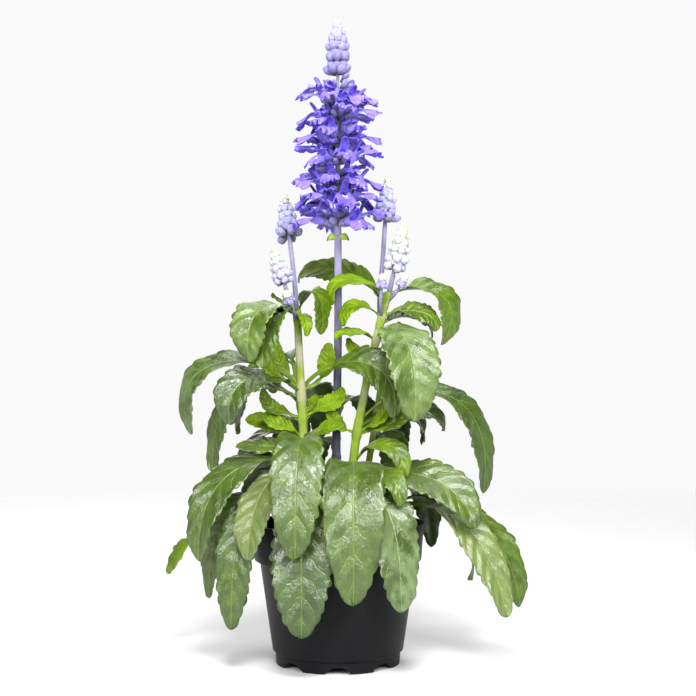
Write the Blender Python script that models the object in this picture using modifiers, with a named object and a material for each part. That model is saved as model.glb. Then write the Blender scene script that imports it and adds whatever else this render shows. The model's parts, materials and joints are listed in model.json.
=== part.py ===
"""A perennial salvia (mealycup sage) in a round nursery pot, built as solids.

The plan below is in millimetres and degrees; Blender gets metres. The origin is the centre of the pot's
foot ring on the surface that it stands on, +Z is up and -Y is the front. Azimuth 0 points along +X, 90
to the back and -90 to the front.
"""

import math
import random

import bmesh
import bpy
from mathutils import Matrix, Vector
from mathutils.bvhtree import BVHTree
from mathutils.geometry import interpolate_bezier

MM = 0.001
GAP = 0.3
UP = Vector((0, 0, 1))

# Pot
POT_HEIGHT = 86
RIM_RADIUS = 53.2
LIP_HEIGHT = 22.5
LIP_FOOT_RADIUS = 51.6
LIP_STEP = 0.8
BODY_RADIUS = 48.4
BODY_FOOT_RADIUS = 40.4
FOOT_RADIUS = 38.6
FOOT_HEIGHT = 6.5
FOOT_CHAMFER = 1.6
FOOT_RING = 2.2
WALL = 1.5
FLOOR_Z = 4.4
POT_SIDES = 28
NOTCHES = 8
NOTCH_TOP = 7
NOTCH_BOTTOM = 15
DRAIN_RADIUS = 4

# Soil
SOIL_TOP = 76
SOIL_CROWN = 1.5
HOLE_PLAY = 0.9

# Stems: each is the points of its centre line, with the radius at its lower and upper end. The first
# tube of a stem stands in the soil, and the others branch from it.
STEMS = {
    "stem_main": [
        ([(0, 0, 68), (0, 0, 80), (-1, 0, 130), (0, 0, 200), (0, 0, 263)], 2.9, 2.3),
    ],
    "stem_left": [
        ([(-15, -8, 68), (-15, -8, 80), (-20, -10, 125), (-22.5, -11, 169), (-25, -11, 217)], 3.1, 2.3),
        ([(-25, -11, 211), (-26, -6, 226), (-28, 6, 243), (-30.5, 16, 261)], 1.6, 1.4),
        ([(-25, -11, 211), (-29, -12.5, 222), (-32, -13, 231)], 1.5, 1.3),
        ([(-25, -11, 211), (-27, -19, 216), (-28.5, -22, 220)], 1.2, 1.0),
    ],
    "stem_right": [
        ([(8, -8, 68), (8, -8, 80), (9.5, -8, 125), (17, -8, 170), (25, -8, 205), (31, -8, 228)], 3.1, 2.2),
        ([(30, -8, 222), (32, -8, 230), (34, -8, 239)], 1.7, 1.5),
        ([(26, -8, 208), (26, 2, 226), (28, 13, 249), (29.5, 17, 271)], 1.7, 1.5),
        ([(27, -8, 211), (26, -14, 221), (26.5, -16, 229)], 1.1, 0.9),
        ([(30, -8, 222), (35, -12, 227), (37, -13, 230)], 1.1, 0.9),
    ],
    "shoot_front": [([(-18, -21, 68), (-18, -21, 80), (-18, -22, 93)], 2.8, 2.2)],
    "shoot_left": [([(-26, 6, 68), (-26, 6, 80), (-30, 6, 94), (-36, 5, 106)], 2.6, 2.0)],
    "shoot_right": [([(26, 2, 68), (26, 2, 80), (29, 2, 92), (34, 2, 101)], 2.6, 2.0)],
    "shoot_back": [([(2, 24, 68), (2, 24, 80), (1, 26, 94), (0, 29, 106)], 2.6, 2.0)],
    "stem_back_left": [([(-12, 14, 68), (-12, 14, 80), (-21, 20, 130), (-28, 25, 184)], 2.6, 1.6)],
    "stem_back_right": [([(12, 14, 68), (12, 14, 80), (20, 20, 125), (28, 25, 178)], 2.6, 1.6)],
}

# Leaves, from those that show most: the stem that carries it, height on the stem, azimuth, reach, rise of
# the arch, drop of the tip below the root, hang of the tip (100 or so hangs straight down, less slants
# outward, more curls back in), width, roll about the midrib, and the hundredths of its length that are stalk.
LEAVES = [
    # Broad leaves at the front, and those that hang over the rim
    ("stem_right", 120, -90, 57, 8, 74, 102, 40, 0, 8),
    ("stem_left", 134, -90, 53, 8, 62, 102, 34, 0, 10),
    ("stem_right", 200, -55, 38, 8, 50, 115, 36, 18, 10),
    ("shoot_front", 88, -98, 38, 17, 62, 102, 39, 0, 16),
    ("stem_right", 98, -58, 54, 12, 58, 102, 34, 0, 22),
    ("shoot_right", 95, -26, 78, 5, 62, 82, 25, 40, 26),
    ("shoot_right", 96, -20, 81.5, 3, 60, 90, 27, 36, 26),
    ("shoot_left", 98, -128, 51, 12, 72, 102, 26, -20, 26),
    ("stem_left", 124, -163, 66, 4, 58, 104, 28, -40, 16),
    ("stem_right", 114, -18, 77, 6, 28, 88, 30, 50, 14),
    # Arching leaves of the left stem
    ("stem_left", 215, -136, 38, 8, 26, 120, 28, -20, 14),
    ("stem_left", 214, -110, 32, 6, 24, 102, 23, 0, 12),
    ("stem_left", 214, -28, 17, 15, 12, 120, 18, 10, 12),
    ("stem_left", 214, 140, 20, 6, -14, 102, 10, 0, 12),
    ("stem_left", 169, 180, 67, 19, 28, 132, 21, -40, 26),
    ("stem_left", 165, -150, 48, 13, 17, 115, 28, -35, 16),
    ("stem_left", 162, 168, 56, 10, 45, 110, 24, -50, 18),
    ("stem_left", 112, -138, 46, 8, 44, 95, 26, -20, 26),
    ("stem_left", 168, -10, 57, 19, 17, 112, 25, 60, 28),
    # Arching leaves of the right stem
    ("stem_right", 226, 5, 33, 6, 30, 170, 25, 45, 14),
    ("stem_right", 220, 142, 73, 22, -16, 102, 20, -55, 14),
    ("stem_right", 224, -171, 34, 12, 4, 115, 13, -40, 14),
    ("stem_right", 148, 5, 77, 23, 44, 115, 24, 46, 32),
    ("stem_right", 213, -8, 32, 4, 9, 115, 18, 42, 14),
    ("stem_right", 212, -166, 24, 8, 5, 115, 12, -40, 14),
    ("stem_right", 208, 30, 38, 6, 8, 102, 19, 30, 14),
    ("stem_right", 198, -164, 25, 7, -5, 102, 11, -30, 14),
    ("stem_right", 122, -32, 34, 14, 8, 120, 15, 40, 18),
    ("stem_right", 108, -42, 44, 12, 8, 105, 17, 30, 16),
    ("stem_right", 144, 14, 56, 12, 2, 102, 21, 40, 22),
    ("stem_right", 142, 34, 52, 10, 8, 102, 20, 30, 18),
    ("stem_right", 100, 2, 80, 12, 26, 100, 25, 40, 22),
    # Small bright leaves in the forks
    ("stem_left", 169, -176, 25, 3, -30, 102, 12, -70, 30),
    ("stem_left", 170, 160, 17, 5, -26, 102, 10, -60, 30),
    ("stem_left", 168, 14, 17, 2, -29, 102, 12, 65, 40),
    ("stem_left", 137, 176, 36, 10, -12, 102, 14, -65, 20),
    ("stem_left", 138, -166, 24, 6, -11, 102, 12, -50, 20),
    ("stem_left", 150, 168, 25, 3, -19, 102, 10, -60, 24),
    ("stem_left", 138, -24, 26, 6, -10, 102, 13, 50, 20),
    ("stem_left", 150, 10, 24, 6, -20, 102, 13, 60, 24),
    ("stem_left", 152, 40, 28, 8, -14, 102, 14, 30, 24),
    ("stem_left", 211, -62, 13, 4, 10, 102, 9, 0, 14),
    ("stem_right", 141, -172, 16, 5, -25, 102, 11, -60, 24),
    ("stem_right", 140, -18, 20, 6, -24, 102, 11, 60, 24),
    ("stem_right", 140, -4, 32, 6, -22, 102, 12, 60, 20),
    ("stem_right", 188, -176, 14, 4, -20, 102, 9, -60, 24),
    ("stem_right", 190, 4, 16, 4, -20, 102, 9, 60, 24),
    # Low leaves at the sides
    ("shoot_left", 93, 158, 88, 6, 45, 62, 13, -60, 74),
    ("shoot_left", 100, -165, 48, 8, 60, 102, 20, -35, 26),
    ("shoot_left", 96, -150, 37, 10, 52, 102, 24, -35, 24),
    ("stem_left", 116, 172, 56, 8, 18, 105, 23, -40, 18),
    ("stem_left", 127, -178, 42, 6, -6, 102, 17, -35, 14),
    ("shoot_left", 94, 150, 46, 14, 36, 102, 25, -20, 22),
    ("shoot_right", 92, 12, 60, 12, 46, 102, 26, 30, 22),
    ("shoot_right", 94, 38, 52, 16, 30, 102, 26, 10, 18),
    # Leaves between the stems and at the back
    ("stem_right", 176, 60, 34, 8, 6, 102, 20, 20, 14),
    ("stem_main", 150, 62, 42, 14, 10, 102, 19, 0, 16),
    ("stem_main", 126, 112, 44, 12, 12, 102, 22, 0, 16),
    ("stem_back_left", 182, 118, 32, 10, 18, 102, 19, 0, 12),
    ("stem_back_left", 182, -165, 30, 8, 14, 102, 15, -20, 12),
    ("stem_back_left", 158, 160, 44, 14, 20, 102, 22, 0, 14),
    ("stem_back_left", 156, 72, 40, 16, 22, 102, 23, 0, 14),
    ("stem_back_left", 134, 105, 42, 16, 30, 102, 27, 0, 14),
    ("stem_back_left", 132, 176, 42, 10, 24, 102, 20, -20, 14),
    ("stem_back_left", 112, 138, 50, 14, 36, 102, 29, 0, 14),
    ("stem_back_right", 176, 62, 36, 10, 20, 102, 19, 0, 12),
    ("stem_back_right", 176, 14, 28, 6, 14, 102, 15, 20, 12),
    ("stem_back_right", 152, 26, 44, 14, 22, 102, 21, 10, 14),
    ("stem_back_right", 150, 84, 38, 14, 22, 102, 23, 0, 14),
    ("stem_back_right", 130, 66, 42, 14, 34, 102, 27, 0, 14),
    ("shoot_back", 102, 92, 35, 12, 54, 102, 29, 0, 16),
    ("shoot_back", 100, 134, 42, 14, 46, 102, 27, 0, 16),
    ("shoot_back", 98, 50, 40, 14, 46, 102, 26, 0, 16),
]

# The two ripening calyces just under the tall spike: height and azimuth
RIPE_CALYCES = [(261, -160), (261.2, -22)]

# Flower heads: the stem and tube that carries each one, and its height. A whorl of flowers is its height
# above the head's foot, how many it holds and how far they reach; a whorl of buds is its height, how many
# it holds, its radius and its depth.
HEADS = {
    "spike_main": {
        "tube": ("stem_main", 0),
        "height": 133,
        "radius": 2.2,
        "flowers": [(9.5 + 12.6 * n, 7, 30 - 0.6 * n) for n in range(7)],
        "buds": [(102, 6, 10, 9), (109.3, 6, 9.7, 8.4), (115.4, 6, 9.2, 7.6), (120.6, 6, 7.6, 7), (125, 5, 5.8, 6),
                 (128.8, 5, 4.3, 5), (131.6, 5, 2.8, 3.8)],
    },
    "spike_left": {
        "tube": ("stem_left", 1),
        "height": 35,
        "radius": 1.3,
        "flowers": [],
        "buds": [(5.8, 5, 9.6, 9), (12.6, 6, 7.4, 8), (18.4, 5, 6.6, 7.2), (23.6, 5, 5.6, 6.6), (28.2, 5, 4.4, 5.6),
                 (32.2, 5, 3.2, 4.8)],
    },
    "spike_left_low": {
        "tube": ("stem_left", 2),
        "height": 24.5,
        "radius": 1.3,
        "flowers": [],
        "buds": [(4.2, 5, 6.2, 6.4), (8.2, 6, 6.8, 6.8), (12.6, 6, 6, 6.2), (16.6, 5, 5, 5.6), (20, 5, 3.9, 4.8),
                 (22.8, 5, 2.8, 3.8)],
    },
    "spike_right": {
        "tube": ("stem_right", 2),
        "height": 30,
        "radius": 1.3,
        "flowers": [],
        "buds": [(5.8, 5, 9.5, 9), (12, 6, 7.2, 7.5), (17, 5, 6.2, 6.5), (21.2, 5, 5, 6), (24.8, 5, 3.9, 5),
                 (28, 5, 2.8, 4.2)],
    },
    "spike_right_low": {
        "tube": ("stem_right", 1),
        "height": 31,
        "radius": 1.3,
        "flowers": [],
        "buds": [(5.2, 5, 7.6, 8), (10, 6, 8.2, 8), (15.5, 6, 7.2, 7.2), (20, 5, 6, 6.4), (24.2, 5, 4.8, 5.6),
                 (28, 5, 3.4, 4.8)],
    },
    "bud_cluster_left": {
        "tube": ("stem_left", 3),
        "height": 8,
        "radius": 0.9,
        "flowers": [],
        "buds": [(3.3, 5, 4.4, 5), (7, 5, 3.4, 4.6)],
    },
    "bud_cluster_right": {
        "tube": ("stem_right", 4),
        "height": 8,
        "radius": 0.9,
        "flowers": [],
        "buds": [(3.3, 5, 4, 5), (7, 5, 3, 4.6)],
    },
    "bud_cluster_middle": {
        "tube": ("stem_right", 3),
        "height": 8,
        "radius": 0.9,
        "flowers": [],
        "buds": [(3.3, 5, 4.2, 5), (7, 5, 3.2, 4.6)],
    },
}

# A whorl of buds up to this radius is modelled with fewer faces
SMALL_WHORL = 6

# One open flower, in its own frame: +Z is outward from the axis and +Y is up. Its calyx swells from a
# narrow foot, and the rim of its mouth runs from the tip of the upper lip round to the lower lip's lobes.
FLOWER_REACH = 28
FLOWER_FOOT = (0.8, 1.2)
CALYX_BELLY = (2.3, 8)
THROAT = (0, 0.4, 14.5)
THROAT_SHARE = 0.55
MOUTH = {
    90: (0, 5.8, 20.5),
    45: (3.4, 4.2, 17),
    0: (6.6, -0.8, 18),
    -45: (7.8, -5, 23.5),
    -90: (0, -6.2, 25.5),
}

# Blades
BLADE = 0.8
STALK_HALF_WIDTH = 1.1
FOLD = math.radians(14)
TEETH_DEPTH = 0.13
CLEARANCE = 0.4
ROOT_SHARE = 0.3
ROOT_REACH = 9
SWINGS = (0, 4, -4, 8, -8, 12, -12, 17, -17, 23, -23, 30, -30)
LIFTS = (0, 4, -4, 8, -8, 12, -12)
SHRINKS = (1, 0.88, 0.76)
NODE_GROUP = "potted_salvia"

COLOURS = {
    "pot": ((0.018, 0.018, 0.02), 0.45),
    "soil": ((0.045, 0.028, 0.018), 0.95),
    "leaf": ((0.13, 0.27, 0.03), 0.45),
    "flower": ((0.17, 0.1, 0.72), 0.6),
    "bud": ((0.55, 0.52, 0.8), 0.7),
}


def clear_scene():
    for thing in list(bpy.data.objects):
        bpy.data.objects.remove(thing)


def collection(name):
    group = bpy.data.collections.new(name)
    bpy.context.scene.collection.children.link(group)
    return group


def material(name):
    colour, roughness = COLOURS[name]
    made = bpy.data.materials.new(name)
    made.use_nodes = True
    shader = made.node_tree.nodes["Principled BSDF"]
    shader.inputs["Base Color"].default_value = (*colour, 1)
    shader.inputs["Roughness"].default_value = roughness
    shader.inputs["Metallic"].default_value = 0
    return made


def add_object(name, bm, group):
    """A mesh object from a bmesh in millimetres."""
    bmesh.ops.scale(bm, vec=Vector((MM, MM, MM)), verts=bm.verts)
    mesh = bpy.data.meshes.new(name)
    bm.to_mesh(mesh)
    bm.free()
    thing = bpy.data.objects.new(name, mesh)
    group.objects.link(thing)
    return thing


def evaluated_mesh(thing):
    graph = bpy.context.evaluated_depsgraph_get()
    return bpy.data.meshes.new_from_object(thing.evaluated_get(graph))


def join_pieces(name, pieces, shade, group):
    """One body from closed pieces that overlap, by one Boolean union on a collection."""
    first = pieces[0]
    others = collection(name + "_pieces")
    for piece in pieces[1:]:
        group.objects.unlink(piece)
        others.objects.link(piece)
    union = first.modifiers.new("join", "BOOLEAN")
    union.operation = "UNION"
    union.solver = "MANIFOLD"
    union.operand_type = "COLLECTION"
    union.collection = others
    mesh = evaluated_mesh(first)
    mesh.name = name
    for piece in pieces:
        bpy.data.objects.remove(piece)
    bpy.data.collections.remove(others)
    mesh.materials.clear()
    mesh.materials.append(shade)
    mesh.shade_smooth()
    mesh.set_sharp_from_angle(angle=math.radians(40))
    body = bpy.data.objects.new(name, mesh)
    group.objects.link(body)
    return body


def smooth_line(points, steps=2):
    """Points along a smooth curve through the given ones."""
    points = [Vector(p) for p in points]
    line = []
    for i in range(len(points) - 1):
        before = points[max(i - 1, 0)]
        start, end = points[i], points[i + 1]
        after = points[min(i + 2, len(points) - 1)]
        leave = start + (end - before) / 6
        arrive = end - (after - start) / 6
        line += interpolate_bezier(start, leave, arrive, end, steps + 1)[:-1]
    return line + [points[-1]]


def stem_lines(tubes):
    """The centre lines of a stem and its branches. The stem's foot is upright in its hole in the soil."""
    foot, *rest = tubes[0][0]
    return [[Vector(foot)] + smooth_line(rest)] + [smooth_line(points) for points, _, _ in tubes[1:]]


def tube(name, line, low, high, sides, group):
    """A tapering round stem along a line, as a closed mesh."""
    curve = bpy.data.curves.new(name, "CURVE")
    curve.dimensions = "3D"
    curve.bevel_depth = MM
    curve.bevel_resolution = sides // 2 - 2
    curve.use_fill_caps = True
    spline = curve.splines.new("POLY")
    spline.points.add(len(line) - 1)
    for i, place in enumerate(line):
        spline.points[i].co = (*(place * MM), 1)
        spline.points[i].radius = low + (high - low) * i / (len(line) - 1)
    guide = bpy.data.objects.new(name + "_line", curve)
    group.objects.link(guide)
    mesh = evaluated_mesh(guide)
    bpy.data.objects.remove(guide)
    bm = bmesh.new()
    bm.from_mesh(mesh)
    bmesh.ops.remove_doubles(bm, verts=bm.verts, dist=0.01 * MM)
    bm.to_mesh(mesh)
    bm.free()
    thing = bpy.data.objects.new(name, mesh)
    group.objects.link(thing)
    return thing


def point_at_height(line, height):
    """Where a rising line passes a height."""
    for low, high in zip(line, line[1:]):
        if low.z <= height <= high.z:
            return low.lerp(high, (height - low.z) / (high.z - low.z))
    return line[-1].copy()


def blade_half_width(along, width, stalk):
    """Half the width of a leaf: a narrow stalk, then a long oval with a blunt point."""
    if along <= stalk:
        return STALK_HALF_WIDTH
    u = (along - stalk) / (1 - stalk)
    oval = math.sin(math.pi * u**0.9) ** (0.7 - 0.2 * u) if u < 1 else 0
    return max(width / 2 * oval, STALK_HALF_WIDTH * (1 - 0.5 * u))


def leaf_sheet(root, leaf, stations, across, toothed):
    """The middle surface of one leaf, as a grid laid along its arching midrib."""
    _, _, azimuth, reach, rise, drop, hang, width, roll, stalk = leaf
    turn = math.radians(azimuth)
    out = Vector((math.cos(turn), math.sin(turn), 0))
    side = UP.cross(out)
    arch = interpolate_bezier(
        root,
        root + out * reach * 0.3 + UP * rise * 4 / 3,
        root + out * reach * hang / 100 + UP * rise * 4 / 3,
        root + out * reach - UP * drop,
        41,
    )
    lengths = [0]
    for a, b in zip(arch, arch[1:]):
        lengths.append(lengths[-1] + (b - a).length)
    bm = bmesh.new()
    bmesh.ops.create_grid(bm, x_segments=across, y_segments=stations, size=0.5)
    for vertex in bm.verts:
        u, v = vertex.co.x * 2, vertex.co.y + 0.5
        goal = v * lengths[-1]
        k = max(i for i in range(40) if lengths[i] <= goal + 1e-6)
        share = (goal - lengths[k]) / (lengths[k + 1] - lengths[k])
        place = arch[k].lerp(arch[k + 1], share)
        along = (arch[k + 1] - arch[k]).normalized()
        across_way = Matrix.Rotation(math.radians(roll) * min(1, v * 1.6), 3, along) @ side
        face_way = along.cross(across_way)
        half = blade_half_width(v, width, stalk / 100)
        if toothed and half > 2 * STALK_HALF_WIDTH and round(v * stations) % 2:
            half *= 1 - TEETH_DEPTH * abs(u)
        fold = math.sin(FOLD) * (1 - 0.5 * v)
        wave = 0.06 * width * math.sin(v * 9 + azimuth) * abs(u) if v > stalk / 100 else 0
        vertex.co = place + across_way * u * half + face_way * (abs(u) * half * fold + wave)
    bmesh.ops.triangulate(bm, faces=bm.faces)
    return bm


def thicken(bm, thickness):
    """A closed shell of even thickness about an open sheet."""
    bm.normal_update()
    for vertex in bm.verts:
        vertex.co += vertex.normal * thickness / 2
    bmesh.ops.solidify(bm, geom=bm.faces, thickness=thickness)
    bmesh.ops.recalc_face_normals(bm, faces=bm.faces)
    return bm


def leaf_grain(leaf):
    """How many stations a leaf's outline needs for its size."""
    width = leaf[7]
    return 10 if width >= 33 else 8 if width >= 20 else 6


def leaf_shell(root, leaf, thickness, toothed=True):
    """A closed leaf of a thickness. Small leaves lie flat across, and the others fold at the midrib."""
    across = 2 if leaf[7] >= 12 else 1
    return thicken(leaf_sheet(root, leaf, leaf_grain(leaf), across, toothed), thickness)


def is_clear(stem, root, leaf, placed):
    """Whether a leaf keeps its distance from all that is placed, apart from its root on its own stem."""
    whole = leaf_shell(root, leaf, BLADE + 2 * CLEARANCE, False)
    outer = whole.copy()
    reach = max(ROOT_SHARE * leaf[3], ROOT_REACH)
    near = [f for f in outer.faces if (f.calc_center_median() - root).length < reach]
    bmesh.ops.delete(outer, geom=near, context="FACES")
    whole_tree, outer_tree = BVHTree.FromBMesh(whole), BVHTree.FromBMesh(outer)
    whole.free()
    outer.free()
    for owner, tree in placed:
        if (outer_tree if owner == stem else whole_tree).overlap(tree):
            return False
    placed.append((stem, outer_tree))
    return True


def settle_leaves(lines, placed):
    """Every leaf in its place: each is swung, lifted or shortened in small steps until it is clear."""
    tries = [(abs(s) + abs(h) + 90 * (1 - k), s, h, k) for s in SWINGS for h in LIFTS for k in SHRINKS]
    tries.sort(key=lambda t: t[0])
    settled = []
    for leaf in LEAVES:
        stem, height, azimuth, reach, rise, drop, hang, width, roll, stalk = leaf
        root = point_at_height(lines[stem][0], height)
        for _, swing, lift, size in tries:
            moved = (stem, height, azimuth + swing, reach * size, rise * size + lift / 3,
                     drop * size - lift, hang, width * size, roll, stalk)
            if is_clear(stem, root, moved, placed):
                settled.append((root, moved))
                break
        else:
            print("no room for leaf", leaf)
    return settled


def round_bud(length, width, sides=4):
    """A small oval bud that stands on the origin along +Z."""
    bm = bmesh.new()
    bmesh.ops.create_uvsphere(bm, u_segments=sides, v_segments=3, radius=0.5)
    bmesh.ops.scale(bm, vec=Vector((width, width, length)), verts=bm.verts)
    bmesh.ops.translate(bm, vec=Vector((0, 0, length / 2)), verts=bm.verts)
    return bm


def outward_frame(place, axis, azimuth, tilt):
    """A frame at a point of the axis: +Z points out and up by the tilt, +Y lies above it."""
    turn = Matrix.Rotation(azimuth, 3, axis)
    seed = Vector((1, 0, 0)) if abs(axis.x) < 0.9 else Vector((0, 1, 0))
    radial = turn @ (seed - axis * seed.dot(axis)).normalized()
    ahead = (radial * math.cos(tilt) + axis * math.sin(tilt)).normalized()
    above = (axis * math.cos(tilt) - radial * math.sin(tilt)).normalized()
    frame = Matrix((above.cross(ahead), above, ahead)).transposed().to_4x4()
    frame.translation = place
    return frame


def ring_place(angle, ring):
    """Where the corner at an angle lies on one ring of a flower."""
    if ring < 2:
        radius, height = (FLOWER_FOOT, CALYX_BELLY)[ring]
        turn = math.radians(angle)
        return Vector((radius * math.cos(turn), radius * math.sin(turn), height))
    mirror = 1 if -90 <= angle <= 90 else -1
    x, y, z = MOUTH[angle if mirror == 1 else 180 - angle if angle > 0 else -180 - angle]
    place = Vector((mirror * x, y, z))
    if ring == 2:
        return place
    return Vector(THROAT) + (place - Vector(THROAT)) * THROAT_SHARE + Vector((0, 0.5, -0.6))


def flower(frame, reach):
    """One open flower: rings from its foot over the calyx to the mouth, and back into the throat."""
    bm = bmesh.new()
    bmesh.ops.create_cone(bm, cap_ends=True, segments=8, radius1=1, radius2=1, depth=1)
    rings = [[v for v in bm.verts if v.co.z < 0], [v for v in bm.verts if v.co.z > 0]]
    mouth = next(f for f in bm.faces if all(v in rings[1] for v in f.verts))
    for _ in range(2):
        grown = bmesh.ops.extrude_face_region(bm, geom=[mouth])["geom"]
        bmesh.ops.delete(bm, geom=[mouth], context="FACES_ONLY")
        rings.append([g for g in grown if isinstance(g, bmesh.types.BMVert)])
        mouth = next(g for g in grown if isinstance(g, bmesh.types.BMFace))
    for ring, corners in enumerate(rings):
        for vertex in corners:
            angle = round(math.degrees(math.atan2(vertex.co.y, vertex.co.x)) / 45) * 45
            vertex.co = ring_place(angle, ring) * reach / FLOWER_REACH
    bmesh.ops.triangulate(bm, faces=bm.faces)
    bmesh.ops.recalc_face_normals(bm, faces=bm.faces)
    bmesh.ops.transform(bm, matrix=frame, verts=bm.verts)
    return bm


def bud_whorl(place, axis, start, count, radius, depth):
    """A ring of round buds about the axis, as a ball whose sides are drawn out into lobes. The ball of a
    small whorl has two rings and no belly between them, so it is widened to keep its radius."""
    bands = 3 if radius <= SMALL_WHORL else 4
    belly = math.cos(math.pi / 6) if bands == 3 else 1
    bm = bmesh.new()
    bmesh.ops.create_uvsphere(bm, u_segments=2 * count, v_segments=bands, radius=1)
    for vertex in bm.verts:
        angle = math.atan2(vertex.co.y, vertex.co.x)
        lobe = (0.76 + 0.24 * math.cos(count * angle)) / belly
        vertex.co.x *= radius * lobe
        vertex.co.y *= radius * lobe
        vertex.co.z *= depth * 0.62
    turn = UP.rotation_difference(axis).to_matrix().to_4x4()
    where = Matrix.Translation(place) @ turn @ Matrix.Rotation(start, 4, "Z")
    bmesh.ops.transform(bm, matrix=where, verts=bm.verts)
    return bm


def head_shapes(plan, foot, axis, rng):
    """Every flower and whorl of buds of one head."""
    shapes = []
    for k, (height, count, reach) in enumerate(plan["flowers"]):
        for i in range(count):
            azimuth = 2 * math.pi * (i + 0.5 * (k % 2) + rng.uniform(-0.08, 0.08)) / count
            place = foot + axis * (height + 3 * (i % 2) - 1.5 + rng.uniform(-1, 1))
            frame = outward_frame(place, axis, azimuth, math.radians(rng.uniform(4, 24)))
            shapes.append(flower(frame, reach + rng.uniform(-4, 1.5)))
    for k, (height, count, radius, depth) in enumerate(plan["buds"]):
        start = math.pi * (k % 2 + rng.uniform(-0.2, 0.2)) / count
        shapes.append(bud_whorl(foot + axis * height, axis, start, count, radius, depth))
    return shapes


def build_head(name, plan, lines, shade, group, placed):
    owner, branch = plan["tube"]
    line = lines[owner][branch]
    axis = (line[-1] - line[-2]).normalized()
    foot = line[-1] + axis * GAP
    rng = random.Random(name)
    rachis = [foot, foot + axis * plan["height"] * 0.5, foot + axis * plan["height"]]
    pieces = [tube(name + "_axis", rachis, plan["radius"], 0.6, 6, group)]
    for shape in head_shapes(plan, foot, axis, rng):
        placed.append((name, BVHTree.FromBMesh(shape)))
        pieces.append(add_object(name + "_bit", shape, group))
    join_pieces(name, pieces, shade, group)


def lathe(name, profile, sides, group):
    """A turned solid from its profile of radius and height, outer side first and top to bottom."""
    bm = bmesh.new()
    corners = [bm.verts.new((radius, 0, height)) for radius, height in profile]
    for a, b in zip(corners, corners[1:]):
        bm.edges.new((a, b))
    if profile[0][0] > 0 and profile[-1][0] > 0:
        bm.edges.new((corners[-1], corners[0]))
    thing = add_object(name, bm, group)
    turn = thing.modifiers.new("turn", "SCREW")
    turn.steps = turn.render_steps = sides
    turn.use_merge_vertices = True
    turn.merge_threshold = 0.01 * MM
    return thing


def cut(thing, cutters):
    for cutter in cutters:
        cutter.hide_render = True
        cutter.display_type = "WIRE"
        bite = thing.modifiers.new("cut " + cutter.name, "BOOLEAN")
        bite.operation = "DIFFERENCE"
        bite.solver = "EXACT"
        bite.object = cutter


def inner_radius(height):
    """The pot's inner wall is one straight cone from the floor's corner to the rim."""
    low, high = BODY_FOOT_RADIUS - WALL - 0.4, RIM_RADIUS - WALL - 0.6
    floor_top = FLOOR_Z + WALL
    return low + (high - low) * (height - floor_top) / (POT_HEIGHT - floor_top)


def notch_cutter(index, cutters):
    """A wedge under the foot ring, wider at the bottom, that lets water drain away."""
    bm = bmesh.new()
    bmesh.ops.create_cube(bm, size=1)
    for vertex in bm.verts:
        width = NOTCH_TOP if vertex.co.z > 0 else NOTCH_BOTTOM
        height = FLOOR_Z - 0.4 if vertex.co.z > 0 else 0
        radius = FOOT_RADIUS + 4 if vertex.co.y < 0 else FOOT_RADIUS - 6
        vertex.co = Vector((width / 2 * (1 if vertex.co.x > 0 else -1), -radius, height))
        if height == 0:
            vertex.co.x *= 1.3
            vertex.co.z = -1.2
    turn = Matrix.Rotation(2 * math.pi * index / NOTCHES, 4, "Z")
    bmesh.ops.transform(bm, matrix=turn, verts=bm.verts)
    return add_object(f"notch_{index}", bm, cutters)


def drain_cutter(index, cutters):
    bm = bmesh.new()
    bmesh.ops.create_cone(bm, cap_ends=True, segments=8, radius1=DRAIN_RADIUS, radius2=DRAIN_RADIUS, depth=12)
    turn = 2 * math.pi * (index + 0.5) / NOTCHES
    place = Vector((math.sin(turn), -math.cos(turn), 0)) * 28 + UP * FLOOR_Z
    bmesh.ops.translate(bm, vec=place, verts=bm.verts)
    return add_object(f"drain_{index}", bm, cutters)


def build_pot(group, cutters, shade):
    lip_z = POT_HEIGHT - LIP_HEIGHT
    profile = [
        (RIM_RADIUS, POT_HEIGHT),
        (LIP_FOOT_RADIUS, lip_z),
        (BODY_RADIUS, lip_z - LIP_STEP),
        (BODY_FOOT_RADIUS, FOOT_HEIGHT + FOOT_CHAMFER),
        (FOOT_RADIUS, FOOT_HEIGHT),
        (FOOT_RADIUS, 0),
        (FOOT_RADIUS - FOOT_RING, 0),
        (FOOT_RADIUS - FOOT_RING, FLOOR_Z),
        (0, FLOOR_Z),
        (0, FLOOR_Z + WALL),
        (inner_radius(FLOOR_Z + WALL), FLOOR_Z + WALL),
        (inner_radius(POT_HEIGHT), POT_HEIGHT),
    ]
    pot = lathe("pot", profile, POT_SIDES, group)
    cut(pot, [notch_cutter(i, cutters) for i in range(NOTCHES)])
    cut(pot, [drain_cutter(i, cutters) for i in range(0, NOTCHES, 2)])
    pot.data.materials.append(shade)


def build_soil(lines, group, cutters, shade):
    bottom = FLOOR_Z + WALL + GAP
    profile = [
        (0, SOIL_TOP + SOIL_CROWN),
        (36, SOIL_TOP + 0.5 * SOIL_CROWN),
        (inner_radius(SOIL_TOP) - 1.2 * GAP, SOIL_TOP),
        (inner_radius(bottom) - 1.2 * GAP, bottom),
        (0, bottom),
    ]
    soil = lathe("soil", profile, POT_SIDES, group)
    holes = []
    for name, tubes in STEMS.items():
        radius = (tubes[0][1] + HOLE_PLAY) / math.cos(math.pi / 8)
        bm = bmesh.new()
        bmesh.ops.create_cone(bm, cap_ends=True, segments=8, radius1=radius, radius2=radius, depth=30)
        foot = lines[name][0][0]
        bmesh.ops.translate(bm, vec=Vector((foot.x, foot.y, foot.z - GAP + 15)), verts=bm.verts)
        holes.append(add_object(name + "_hole", bm, cutters))
    cut(soil, holes)
    soil.data.materials.append(shade)


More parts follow.
